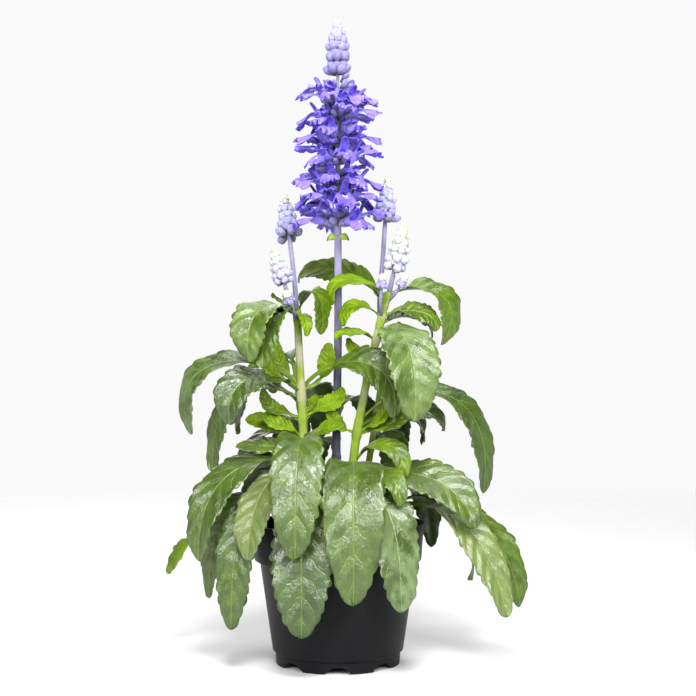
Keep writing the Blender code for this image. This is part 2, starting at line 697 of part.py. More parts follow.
def pot_envelope():
    """A plain outline of the pot, its rim and the soil, which leaves keep clear of."""
    bm = bmesh.new()
    bmesh.ops.create_cone(
        bm, cap_ends=False, segments=32, radius1=FOOT_RADIUS, radius2=RIM_RADIUS + 0.4, depth=POT_HEIGHT + 0.4
    )
    bmesh.ops.translate(bm, vec=Vector((0, 0, POT_HEIGHT / 2)), verts=bm.verts)
    top = Matrix.Translation((0, 0, SOIL_TOP + SOIL_CROWN + GAP))
    bmesh.ops.create_circle(bm, cap_ends=True, segments=32, radius=RIM_RADIUS - 2, matrix=top)
    return bm


def mesh_tree(thing):
    """The collision tree, in millimetres, of an object that lies at the origin."""
    bm = bmesh.new()
    bm.from_mesh(thing.data)
    bmesh.ops.scale(bm, vec=Vector((1 / MM, 1 / MM, 1 / MM)), verts=bm.verts)
    tree = BVHTree.FromBMesh(bm)
    bm.free()
    return tree


def build():
    clear_scene()
    plant = collection(NODE_GROUP)
    cutters = collection("cutters")
    shades = {name: material(name) for name in COLOURS}
    lines = {name: stem_lines(tubes) for name, tubes in STEMS.items()}
    build_pot(plant, cutters, shades["pot"])
    build_soil(lines, plant, cutters, shades["soil"])

    placed = [("pot", BVHTree.FromBMesh(pot_envelope()))]
    for name, plan in HEADS.items():
        shade = shades["flower" if plan["flowers"] else "bud"]
        build_head(name, plan, lines, shade, plant, placed)

    pieces = {name: [] for name in STEMS}
    for name, tubes in STEMS.items():
        for i, (_, low, high) in enumerate(tubes):
            piece = tube(f"{name}_{i}", lines[name][i], low, high, 8 if name == "stem_main" else 6, plant)
            pieces[name].append(piece)
            placed.append((name, mesh_tree(piece)))
    for height, azimuth in RIPE_CALYCES:
        frame = outward_frame(Vector((0, 0, height)), UP, math.radians(azimuth), math.radians(-8))
        calyx = round_bud(7.5, 5, 6)
        bmesh.ops.transform(calyx, matrix=frame, verts=calyx.verts)
        pieces["stem_main"].append(add_object("ripe_calyx", calyx, plant))

    for root, leaf in settle_leaves(lines, placed):
        pieces[leaf[0]].append(add_object(leaf[0] + "_leaf", leaf_shell(root, leaf, BLADE), plant))
    for name, parts in pieces.items():
        join_pieces(name, parts, shades["leaf"], plant)


build()
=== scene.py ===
# %% [markdown]
# # A potted mealycup sage
#
# The plant stands in a round black nursery pot. One tall stem carries a spike of open blue-violet
# flowers, smaller spikes of closed mealy buds stand beside it, and toothed leaves arch out and hang
# over the rim. A solid model of the plant is loaded first. It says where every stem, leaf and flower
# is, and each step below puts a finer piece in the place of one of its solids.

# %% Open the solid model
import json
import math
import random
from collections import namedtuple

import bmesh
import bpy
import numpy as np
from mathutils import Matrix, Vector
from mathutils.bvhtree import BVHTree
from mathutils.geometry import interpolate_bezier

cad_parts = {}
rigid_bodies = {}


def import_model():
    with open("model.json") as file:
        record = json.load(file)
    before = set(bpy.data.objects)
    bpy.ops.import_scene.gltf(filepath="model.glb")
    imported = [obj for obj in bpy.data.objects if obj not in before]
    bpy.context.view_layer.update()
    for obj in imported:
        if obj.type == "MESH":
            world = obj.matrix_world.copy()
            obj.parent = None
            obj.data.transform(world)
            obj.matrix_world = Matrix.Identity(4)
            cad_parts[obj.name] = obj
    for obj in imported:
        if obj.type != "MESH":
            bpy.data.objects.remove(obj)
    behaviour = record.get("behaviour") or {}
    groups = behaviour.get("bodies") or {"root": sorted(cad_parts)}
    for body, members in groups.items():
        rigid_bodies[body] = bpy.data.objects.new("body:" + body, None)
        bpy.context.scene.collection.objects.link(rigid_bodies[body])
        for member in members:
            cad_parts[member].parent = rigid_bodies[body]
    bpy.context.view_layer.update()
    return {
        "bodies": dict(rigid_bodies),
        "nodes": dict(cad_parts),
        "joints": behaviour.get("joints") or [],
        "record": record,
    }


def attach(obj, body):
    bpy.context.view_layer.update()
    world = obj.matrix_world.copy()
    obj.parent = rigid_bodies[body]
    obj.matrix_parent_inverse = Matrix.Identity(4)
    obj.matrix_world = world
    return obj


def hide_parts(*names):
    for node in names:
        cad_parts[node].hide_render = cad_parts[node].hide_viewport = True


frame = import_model()
MM = 0.001
UP = Vector((0, 0, 1))

# %% [markdown]
# ## Camera and light
#
# The photograph was taken level with the middle of the plant, through a long lens, on a white ground
# and in soft light. A level camera at the same height gives the same outline. A wide sun lights the
# plant and the whole floor alike, so the floor stays white to the horizon. Four broad lamps on the
# camera's side give the pale gloss on leaves that face them, and one behind lights the edges. A plain
# colour transform keeps the violet of the petals as strong as it is in the photograph.


# %% Place the camera
VIEW_PLACE = (0.0062, -0.868, 0.1938)
VIEW_LENS = 72.41
LEVEL = math.radians(90)


def link(thing):
    """Puts a new object into the scene."""
    bpy.context.scene.collection.objects.link(thing)


view_data = bpy.data.cameras.new("photo_view")
view_data.lens = VIEW_LENS
view_data.sensor_width = 36
view = bpy.data.objects.new("photo_view", view_data)
view.location = VIEW_PLACE
view.rotation_euler = (LEVEL, 0, 0)
link(view)
bpy.context.scene.camera = view
bpy.context.scene.view_settings.view_transform = "Standard"
print("camera height in mm:", round(view.location.z / MM, 1))

# %% Hang the lamps
PLANT_MIDDLE = Vector((0, 0, 0.2))


def lamp(name, kind, place, strength, size):
    """A soft lamp that shines at the middle of the plant. A sun's size is the angle that it fills."""
    data = bpy.data.lights.new(name, kind)
    data.energy = strength
    setattr(data, "angle" if kind == "SUN" else "size", size)
    thing = bpy.data.objects.new(name, data)
    thing.location = place
    thing.rotation_euler = (PLANT_MIDDLE - Vector(place)).to_track_quat("-Z", "Y").to_euler()
    link(thing)


lamp("high_sun", "SUN", (0.15, 0.35, 1.5), 1.8, math.radians(40))
lamp("right_lamp", "AREA", (0.62, -1.1, 0.95), 17, 0.45)
lamp("left_lamp", "AREA", (-0.7, -1.1, 0.66), 13, 0.45)
lamp("front_lamp", "AREA", (0.0, -0.8, 1.2), 21, 0.35)
lamp("low_lamp", "AREA", (0.35, -1.2, 0.58), 5, 0.3)
lamp("back_lamp", "AREA", (-0.4, 1.4, 0.9), 9, 1.0)

# %% [markdown]
# ## The tools of this lesson
#
# Everything is modelled in metres, but a plant is easier to plan in millimetres, so the plans below
# are in millimetres and MM turns them into metres. An operator works on all that is selected, and the
# solids are selected after loading, so the first helper clears the selection.


# %% Small helpers
def start_fresh():
    """Leaves nothing selected, so that the next operator works on the new piece alone."""
    bpy.ops.object.select_all(action="DESELECT")


def edit_new():
    """Opens the piece that was just added in edit mode, with all of it selected."""
    bpy.ops.object.mode_set(mode="EDIT")
    bpy.ops.mesh.select_all(action="SELECT")
    return bpy.context.object


def pick(thing, test):
    """In edit mode, selects the points that pass a test, and no others."""
    net = bmesh.from_edit_mesh(thing.data)
    net.select_mode = {"VERT"}
    for point in net.verts:
        point.select = bool(test(point.co / MM))
    net.select_flush_mode()
    bmesh.update_edit_mesh(thing.data)


def modify(thing, kind, **settings):
    """Gives a piece a modifier and applies it."""
    start_fresh()
    bpy.context.view_layer.objects.active = thing
    thing.select_set(True)
    modifier = thing.modifiers.new(kind, kind)
    for key, value in settings.items():
        setattr(modifier, key, value)
    bpy.ops.object.modifier_apply(modifier=modifier.name)


def present(thing, name, slot, node, *finishes):
    """Names and finishes a piece, lets it ride with the plant and puts it in the place of its solid."""
    thing.name = name
    thing.data.name = name
    for finish in finishes:
        thing.data.materials.append(finish.material)
    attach(thing, "root")
    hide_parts(node)
    print(name, "faces:", len(thing.data.polygons))


# %% [markdown]
# A finish is a small net of nodes. These helpers add a node with its inputs set or linked, so each
# finish below reads like a recipe: where the colour comes from, how glossy it is, and what relief is
# too fine to model. A field stands for one output of a node. Sums and products of fields add Math
# nodes, and a band is a Map Range node.


# %% Helpers for nets of nodes
class Field:
    """What one output of a node gives, all over a surface."""

    def __init__(self, net, socket):
        self.net = net
        self.socket = socket

    def math(self, operation, *others):
        return self.net.node("ShaderNodeMath", dict(enumerate((self, *others))), operation=operation)

    def __add__(self, other):
        return self.math("ADD", other)

    def __sub__(self, other):
        return self.math("SUBTRACT", other)

    def __mul__(self, other):
        return self.math("MULTIPLY", other)

    def band(self, low, high, start=0.0, end=1.0, way="SMOOTHSTEP"):
        """Goes from start to end as the field goes from low to high, which may be the smaller of the two."""
        inputs = dict(enumerate((self, low, high, start, end)))
        return self.net.node("ShaderNodeMapRange", inputs, interpolation_type=way)

    def parts(self):
        """The three parts of a vector."""
        split = self.net.node("ShaderNodeSeparateXYZ", {0: self}).socket.node
        return [Field(self.net, socket) for socket in split.outputs]


class Net:
    """The nodes of a finish or of the sky."""

    def __init__(self, owner):
        owner.use_nodes = True
        self.tree = owner.node_tree

    def feed(self, node, inputs):
        """Links or sets inputs of a node, named or numbered. A colour is given without its alpha."""
        for key, value in inputs.items():
            socket = node.inputs[key]
            if isinstance(value, Field):
                self.tree.links.new(value.socket, socket)
            else:
                socket.default_value = (*value, 1) if socket.type == "RGBA" else value

    def node(self, kind, inputs=None, output=0, **settings):
        """A new node, given as the field of one of its outputs."""
        made = self.tree.nodes.new(kind)
        for key, value in settings.items():
            setattr(made, key, value)
        self.feed(made, inputs or {})
        return Field(self, made.outputs[output])


# %% [markdown]
# The sky is such a net. It is white behind the plant, where the camera looks, a little dimmer on the
# camera's side and dark above, so that it doesn't fill the shadows inside the bush.

# %% Paint the sky
SKY_LOW, SKY_HIGH, SKY_FRONT = 0.95, 0.14, 0.66
# How far up the sky darkens, and how far round it turns white
UP_FADE, BACK_FADE = (0.26, 0.36), (0.3, 0.85)
room = bpy.data.worlds.new("white_room")
sky = Net(room)
_, north, up = sky.node("ShaderNodeTexCoord", None, "Generated").parts()
strength = up.band(*UP_FADE, SKY_LOW, SKY_HIGH) * north.band(*BACK_FADE, SKY_FRONT, 1)
sky.feed(sky.tree.nodes["Background"], {"Strength": strength, "Color": (1, 1, 1)})
bpy.context.scene.world = room
print("sky from", SKY_HIGH, "overhead to", SKY_LOW, "at the horizon")


# %% Helpers for finishes
class Finish(Net):
    """A material under construction."""

    def __init__(self, name):
        self.material = bpy.data.materials.new(name)
        super().__init__(self.material)
        self.where = self.node("ShaderNodeTexCoord", None, "Object")

    def mix(self, share, a, b):
        return self.node("ShaderNodeMix", {0: share, 6: a, 7: b}, 2, data_type="RGBA")

    def noise(self, scale, detail=3.0, rough=0.5, where=None):
        inputs = {"Vector": where or self.where, "Scale": scale, "Detail": detail, "Roughness": rough}
        return self.node("ShaderNodeTexNoise", inputs, "Fac")

    def mark(self, name, output="Fac"):
        """A mark that was laid on the points of a piece."""
        return self.node("ShaderNodeAttribute", None, output, attribute_name=name)

    def relief(self, height, depth, strength=1.0):
        """Relief too fine to model, given as its height in the net and its depth on the piece."""
        bump = self.node("ShaderNodeBump", {"Height": height, "Distance": depth, "Strength": strength})
        self.surface(Normal=bump)

    def surface(self, **inputs):
        """Links or sets inputs of the shader, whose names are given with _ for a space."""
        named = {key.replace("_", " "): value for key, value in inputs.items()}
        self.feed(self.tree.nodes["Principled BSDF"], named)


# %% [markdown]
# ## The pot
#
# It is moulded in black plastic: a deep lip with a small step under it, a wall that tapers to a
# narrower foot ring, and notches in the ring that let water out. Such a round wall could be spun from
# a profile. Here it is raised ring by ring instead, by extruding a circle, which needs no axis and
# shows how each ring gets its own height and radius. The notches are then cut with wedges, and a fine
# bevel catches the light along every edge.

# %% Raise the pot's wall
POT_SIDES = 128
POT_HEIGHT = 86
RIM_RADIUS = 53.2
RIM_THICK = 2.1
FOOT_RADIUS = 38.6
FOOT_THICK = 2.2
FLOOR_Z = 4.4
FLOOR_THICK = 1.5
POT_RINGS = [
    (FOOT_RADIUS - FOOT_THICK, FLOOR_Z), (FOOT_RADIUS - FOOT_THICK, 0), (FOOT_RADIUS, 0), (FOOT_RADIUS, 6.5),
    (39.1, 6.9), (39.3, 7.1), (40.4, 8.1), (48.4, 62.7), (51.6, 63.5), (51.9, 67), (RIM_RADIUS, POT_HEIGHT),
    (RIM_RADIUS - RIM_THICK, POT_HEIGHT), (50.9, 84), (38.5, FLOOR_Z + FLOOR_THICK),
]


def add_ring(radius, height, sides, fill):
    """A circle round the Z axis, open in edit mode."""
    start_fresh()
    place = (0, 0, height * MM)
    bpy.ops.mesh.primitive_circle_add(vertices=sides, radius=radius * MM, location=place, fill_type=fill)
    bpy.ops.object.transform_apply(location=True)
    return edit_new()


def grow_rings(rings):
    """Extrudes the ring that is selected through rings of radius, height and shift along Y."""
    radius, height, shift = rings[0]
    for next_radius, next_height, next_shift in rings[1:]:
        move = (0, (next_shift - shift) * MM, (next_height - height) * MM)
        bpy.ops.mesh.extrude_region_move(TRANSFORM_OT_translate={"value": move})
        scale = next_radius / radius
        centre = (0, next_shift * MM, next_height * MM)
        bpy.ops.transform.resize(value=(scale, scale, 1), center_override=centre)
        radius, height, shift = next_radius, next_height, next_shift


def raise_rings(rings, sides):
    """A round body from rings of radius and height, closed at both ends."""
    body = add_ring(*rings[0], sides, "NGON")
    grow_rings([(radius, height, 0) for radius, height in rings])
    bpy.ops.mesh.select_all(action="SELECT")
    bpy.ops.mesh.normals_make_consistent(inside=False)
    bpy.ops.object.mode_set(mode="OBJECT")
    return body


pot = raise_rings(POT_RINGS, POT_SIDES)
print("pot rings:", len(POT_RINGS))

# %% Cut the notches and drain holes
NOTCHES = 8
NOTCH_REACH = 37.6
NOTCH_SIZE = (7, 10, 5.2)
NOTCH_Z = 1.4
NOTCH_FLARE = 2.8
DRAIN_REACH = 28
DRAIN_RADIUS = 4
DRAIN_LENGTH = 12


def wedge(turn):
    """A block under the foot ring that is wider at the bottom."""
    start_fresh()
    bpy.ops.mesh.primitive_cube_add(size=1)
    block = edit_new()
    bpy.ops.transform.resize(value=[side * MM for side in NOTCH_SIZE])
    bpy.ops.transform.translate(value=(0, -NOTCH_REACH * MM, NOTCH_Z * MM))
    pick(block, lambda co: co.z < 0)
    bpy.ops.transform.resize(value=(NOTCH_FLARE, 1, 1), center_override=(0, -NOTCH_REACH * MM, 0))
    bpy.ops.object.mode_set(mode="OBJECT")
    block.rotation_euler.z = turn
    return block


def drain(turn):
    """A short rod where a drain hole goes through the floor."""
    start_fresh()
    place = (DRAIN_REACH * MM * math.sin(turn), -DRAIN_REACH * MM * math.cos(turn), FLOOR_Z * MM)
    size = {"radius": DRAIN_RADIUS * MM, "depth": DRAIN_LENGTH * MM}
    bpy.ops.mesh.primitive_cylinder_add(vertices=24, location=place, **size)
    return bpy.context.object


cutters = [wedge(math.tau * i / NOTCHES) for i in range(NOTCHES)]
cutters += [drain(math.tau * (i + 0.5) / NOTCHES) for i in range(0, NOTCHES, 2)]
for cutter in cutters:
    modify(pot, "BOOLEAN", operation="DIFFERENCE", solver="EXACT", object=cutter)
    bpy.data.objects.remove(cutter)
print("faces after cutting:", len(pot.data.polygons))

# %% Round the pot's edges
modify(pot, "BEVEL", width=0.35 * MM, segments=3, limit_method="ANGLE", angle_limit=math.radians(28))
bpy.ops.object.shade_smooth_by_angle(angle=math.radians(35))
print("faces after rounding:", len(pot.data.polygons))

# %% [markdown]
# The plastic is not quite black. It has the fine grain of the mould, a soft gloss with dull patches
# where hands and soil have rubbed it, and a little dust. The grain is relief in the finish, far too
# fine to model, and the patches only change how rough it is. The lip has less shine, because leaves
# hang over it and keep it dark.

# %% Finish the pot
plastic = Finish("pot_plastic")
patches = plastic.noise(28, 4, 0.6)
dust = plastic.noise(420, 3, 0.7).band(0.62, 0.8)
shade = plastic.mix(patches, (0.004, 0.004, 0.005), (0.009, 0.009, 0.01))
shade = plastic.mix(dust * 0.12, shade, (0.12, 0.11, 0.1))
height = plastic.where.parts()[2]
plastic.relief(plastic.noise(2600, 2), 0.06 * MM, 0.6)
plastic.surface(
    Base_Color=shade, Roughness=patches.band(0, 1, 0.36, 0.56, "LINEAR"),
    Specular_IOR_Level=height.band(0.072, 0.09, 0.1, 0.02),
)
present(pot, "pot_moulded", "pot", "pot", plastic)

# %% [markdown]
# ## The soil
#
# Potting mix fills the pot to a finger's breadth below the rim. It is a solid body with an uneven
# top. Its crumbs, bits of bark and white grains of perlite are small stones modelled once, copied in
# hundreds, and each turned and squeezed in its own way.

# %% Heap the soil
SOIL_TOP = 76
SOIL_SIDES = 96
SOIL_RADIUS = 49.4
SOIL_STEPS = 25
SOIL_STEP = 1.9
SOIL_EDGE = SOIL_TOP - 0.4
# Within this radius the top is uneven and carries stones
HEAP_RADIUS = 49
soil_rings = [(38.3, 6.2)]
soil_rings += [(SOIL_RADIUS - SOIL_STEP * step, SOIL_EDGE + 0.08 * step) for step in range(SOIL_STEPS)]
soil = raise_rings(soil_rings, SOIL_SIDES)
heap = random.Random("soil")


def lumps(x, y):
    """The uneven top of the soil, as waves of a few lengths."""
    broad = math.sin(0.13 * x + 1.2) * math.cos(0.11 * y - 0.4)
    fine = math.sin(0.71 * x + 0.4 * y) * math.cos(0.63 * y - 0.5 * x)
    return 0.7 * broad + 0.45 * fine


for point in soil.data.vertices:
    if point.co.z > (SOIL_TOP - 1) * MM and point.co.xy.length < HEAP_RADIUS * MM:
        point.co.z += (lumps(point.co.x / MM, point.co.y / MM) + heap.uniform(-0.35, 0.35)) * MM
soil.data.shade_smooth()
print("soil faces:", len(soil.data.polygons))


# %% Scatter crumbs, bark and perlite
def points_of(thing):
    """The points of a mesh, as rows of an array in millimetres."""
    flat = np.empty(len(thing.data.vertices) * 3)
    thing.data.vertices.foreach_get("co", flat)
    return flat.reshape(-1, 3) / MM


def take(thing):
    """The points and faces of a model, which is then removed."""
    faces = [tuple(face.vertices) for face in thing.data.polygons]
    made = points_of(thing), faces
    bpy.data.objects.remove(thing)
    return made


def gather(name, copies, marks=None):
    """One mesh from many copies. A copy is its points and faces, and a mark is a value for each point."""
    points, faces, base = [], [], 0
    for copy_points, copy_faces in copies:
        points.append(copy_points)
        faces += [tuple(corner + base for corner in face) for face in copy_faces]
        base += len(copy_points)
    mesh = bpy.data.meshes.new(name)
    mesh.from_pydata((np.concatenate(points) * MM).tolist(), [], faces)
    for key, values in (marks or {}).items():
        values = np.concatenate(values).astype(np.float32)
        kind, field = ("FLOAT_VECTOR", "vector") if values.ndim == 2 else ("FLOAT", "value")
        mesh.attributes.new(key, kind, "POINT").data.foreach_set(field, values.ravel())
    mesh.shade_smooth()
    thing = bpy.data.objects.new(name, mesh)
    link(thing)
    return thing


def scatter(rng, count, low, high, stretch):
    """Small stones on the soil, each with its own size, squeeze and turn."""
    start_fresh()
    bpy.ops.mesh.primitive_ico_sphere_add(subdivisions=1, radius=MM)
    stone_points, stone_faces = take(bpy.context.object)
    copies = []
    for _ in range(count):
        radius, angle = HEAP_RADIUS * math.sqrt(rng.random()), rng.uniform(0, math.tau)
        x, y = radius * math.cos(angle), radius * math.sin(angle)
        size = rng.uniform(low, high)
        squeeze = np.array([1, rng.uniform(0.5, 0.9), rng.uniform(0.4, 0.8) / stretch]) * size * stretch
        turn = np.array(Matrix.Rotation(rng.uniform(0, math.tau), 3, "Z"))
        bumps = np.array([rng.uniform(0.8, 1.2) for _ in stone_points])[:, None]
        points = (stone_points * bumps * squeeze) @ turn.T
        copies.append((points + [x, y, SOIL_TOP + 0.6 + lumps(x, y)], stone_faces))
    return copies


crumbs = gather("crumbs", scatter(heap, 700, 0.5, 1.5, 1.0))
bark = gather("bark", scatter(heap, 110, 0.7, 1.6, 1.9))
perlite = gather("perlite", scatter(heap, 70, 0.6, 1.4, 1.0))
for grains in (crumbs, bark, perlite):
    grains.data.shade_flat()

# %% Finish the soil
peat = Finish("potting_mix")
lumpy = peat.noise(700, 5, 0.65)
peat.relief(lumpy, 0.8 * MM)
peat.surface(Base_Color=peat.mix(lumpy, (0.012, 0.007, 0.004), (0.06, 0.036, 0.02)), Roughness=0.95)
chips = Finish("bark_chips")
streaks = chips.noise(900, 3, 0.6)
chips.surface(Base_Color=chips.mix(streaks, (0.05, 0.022, 0.01), (0.16, 0.085, 0.04)), Roughness=0.85)
white_grain = Finish("perlite")
pits = white_grain.noise(1500, 3, 0.6)
white_grain.relief(pits, 0.2 * MM)
white_grain.surface(Base_Color=white_grain.mix(pits, (0.5, 0.48, 0.43), (0.8, 0.79, 0.75)), Roughness=0.8)
present(soil, "soil_heap", "soil", "soil", peat)
present(crumbs, "soil_crumbs", "soil", "soil", peat)
present(bark, "soil_bark", "soil", "soil", chips)
present(perlite, "soil_perlite", "soil", "soil", white_grain)

# %% [markdown]
# ## The stems
#
# A sage has square stems with rounded corners, a little thicker where each pair of leaves grows. A
# stem could be a stretched cylinder, but it bends and tapers all along, so each one is a curve with a
# rounded square drawn along it. The curve's points are those of the solid model, and a smooth line
# through them is worked out first. Leaves and flower heads find their place from the same lines.

# %% The plan of the stems
STEMS = {
    "stem_main": [
        ([(0, 0, 68), (0, 0, 80), (-1, 0, 130), (0, 0, 200), (0, 0, 263)], 2.9, 2.3),
    ],
    "stem_left": [
        ([(-15, -8, 68), (-15, -8, 80), (-20, -10, 125), (-22.5, -11, 169), (-25, -11, 217)], 3.1, 2.3),
        ([(-25, -11, 211), (-26, -6, 226), (-28, 6, 243), (-30.5, 16, 261)], 1.6, 1.4),
        ([(-25, -11, 211), (-29, -12.5, 222), (-32, -13, 231)], 1.5, 1.3),
        ([(-25, -11, 211), (-27, -19, 216), (-28.5, -22, 220)], 1.2, 1.0),
    ],
    "stem_right": [
        ([(8, -8, 68), (8, -8, 80), (9.5, -8, 125), (17, -8, 170), (25, -8, 205), (31, -8, 228)], 3.1, 2.2),
        ([(30, -8, 222), (32, -8, 230), (34, -8, 239)], 1.7, 1.5),
        ([(26, -8, 208), (26, 2, 226), (28, 13, 249), (29.5, 17, 271)], 1.7, 1.5),
        ([(27, -8, 211), (26, -14, 221), (26.5, -16, 229)], 1.1, 0.9),
        ([(30, -8, 222), (35, -12, 227), (37, -13, 230)], 1.1, 0.9),
    ],
    "shoot_front": [([(-18, -21, 68), (-18, -21, 80), (-18, -22, 93)], 2.8, 2.2)],
    "shoot_left": [([(-26, 6, 68), (-26, 6, 80), (-30, 6, 94), (-36, 5, 106)], 2.6, 2.0)],
    "shoot_right": [([(26, 2, 68), (26, 2, 80), (29, 2, 92), (34, 2, 101)], 2.6, 2.0)],
    "shoot_back": [([(2, 24, 68), (2, 24, 80), (1, 26, 94), (0, 29, 106)], 2.6, 2.0)],
    "stem_back_left": [([(-12, 14, 68), (-12, 14, 80), (-21, 20, 130), (-28, 25, 184)], 2.6, 1.6)],
    "stem_back_right": [([(12, 14, 68), (12, 14, 80), (20, 20, 125), (28, 25, 178)], 2.6, 1.6)],
}


def smooth_line(points, steps):
    """Points along a smooth curve through the given ones."""
    points = [Vector(p) for p in points]
    line = []
    for i in range(len(points) - 1):
        before = points[max(i - 1, 0)]
        start, end = points[i], points[i + 1]
        after = points[min(i + 2, len(points) - 1)]
        leave = start + (end - before) / 6
        arrive = end - (after - start) / 6
        line += interpolate_bezier(start, leave, arrive, end, steps + 1)[:-1]
    return line + [points[-1]]


def stem_lines(tubes, steps):
    """The lines of a stem and its branches. The stem's foot is upright in its hole in the soil."""
    foot, *rest = tubes[0][0]
    return [[Vector(foot)] + smooth_line(rest, steps)] + [smooth_line(tube[0], steps) for tube in tubes[1:]]


def point_at_height(line, height):
    for low, high in zip(line, line[1:]):
        if low.z <= height <= high.z:
            return low.lerp(high, (height - low.z) / (high.z - low.z))
    return line[-1].copy()


lines = {name: stem_lines(tubes, 2) for name, tubes in STEMS.items()}
print("stems and branches:", sum(len(tubes) for tubes in STEMS.values()))

# %% [markdown]
# ## The leaves' plan
#
# Each row says which stem carries a leaf, at what height, which way it points and how far it
# reaches, and how it arches and hangs. On the solid model some leaves were swung or lifted a little
# to clear their neighbours. So each row is tried with the same small moves, and the one that lies on
# the solid leaf is kept.

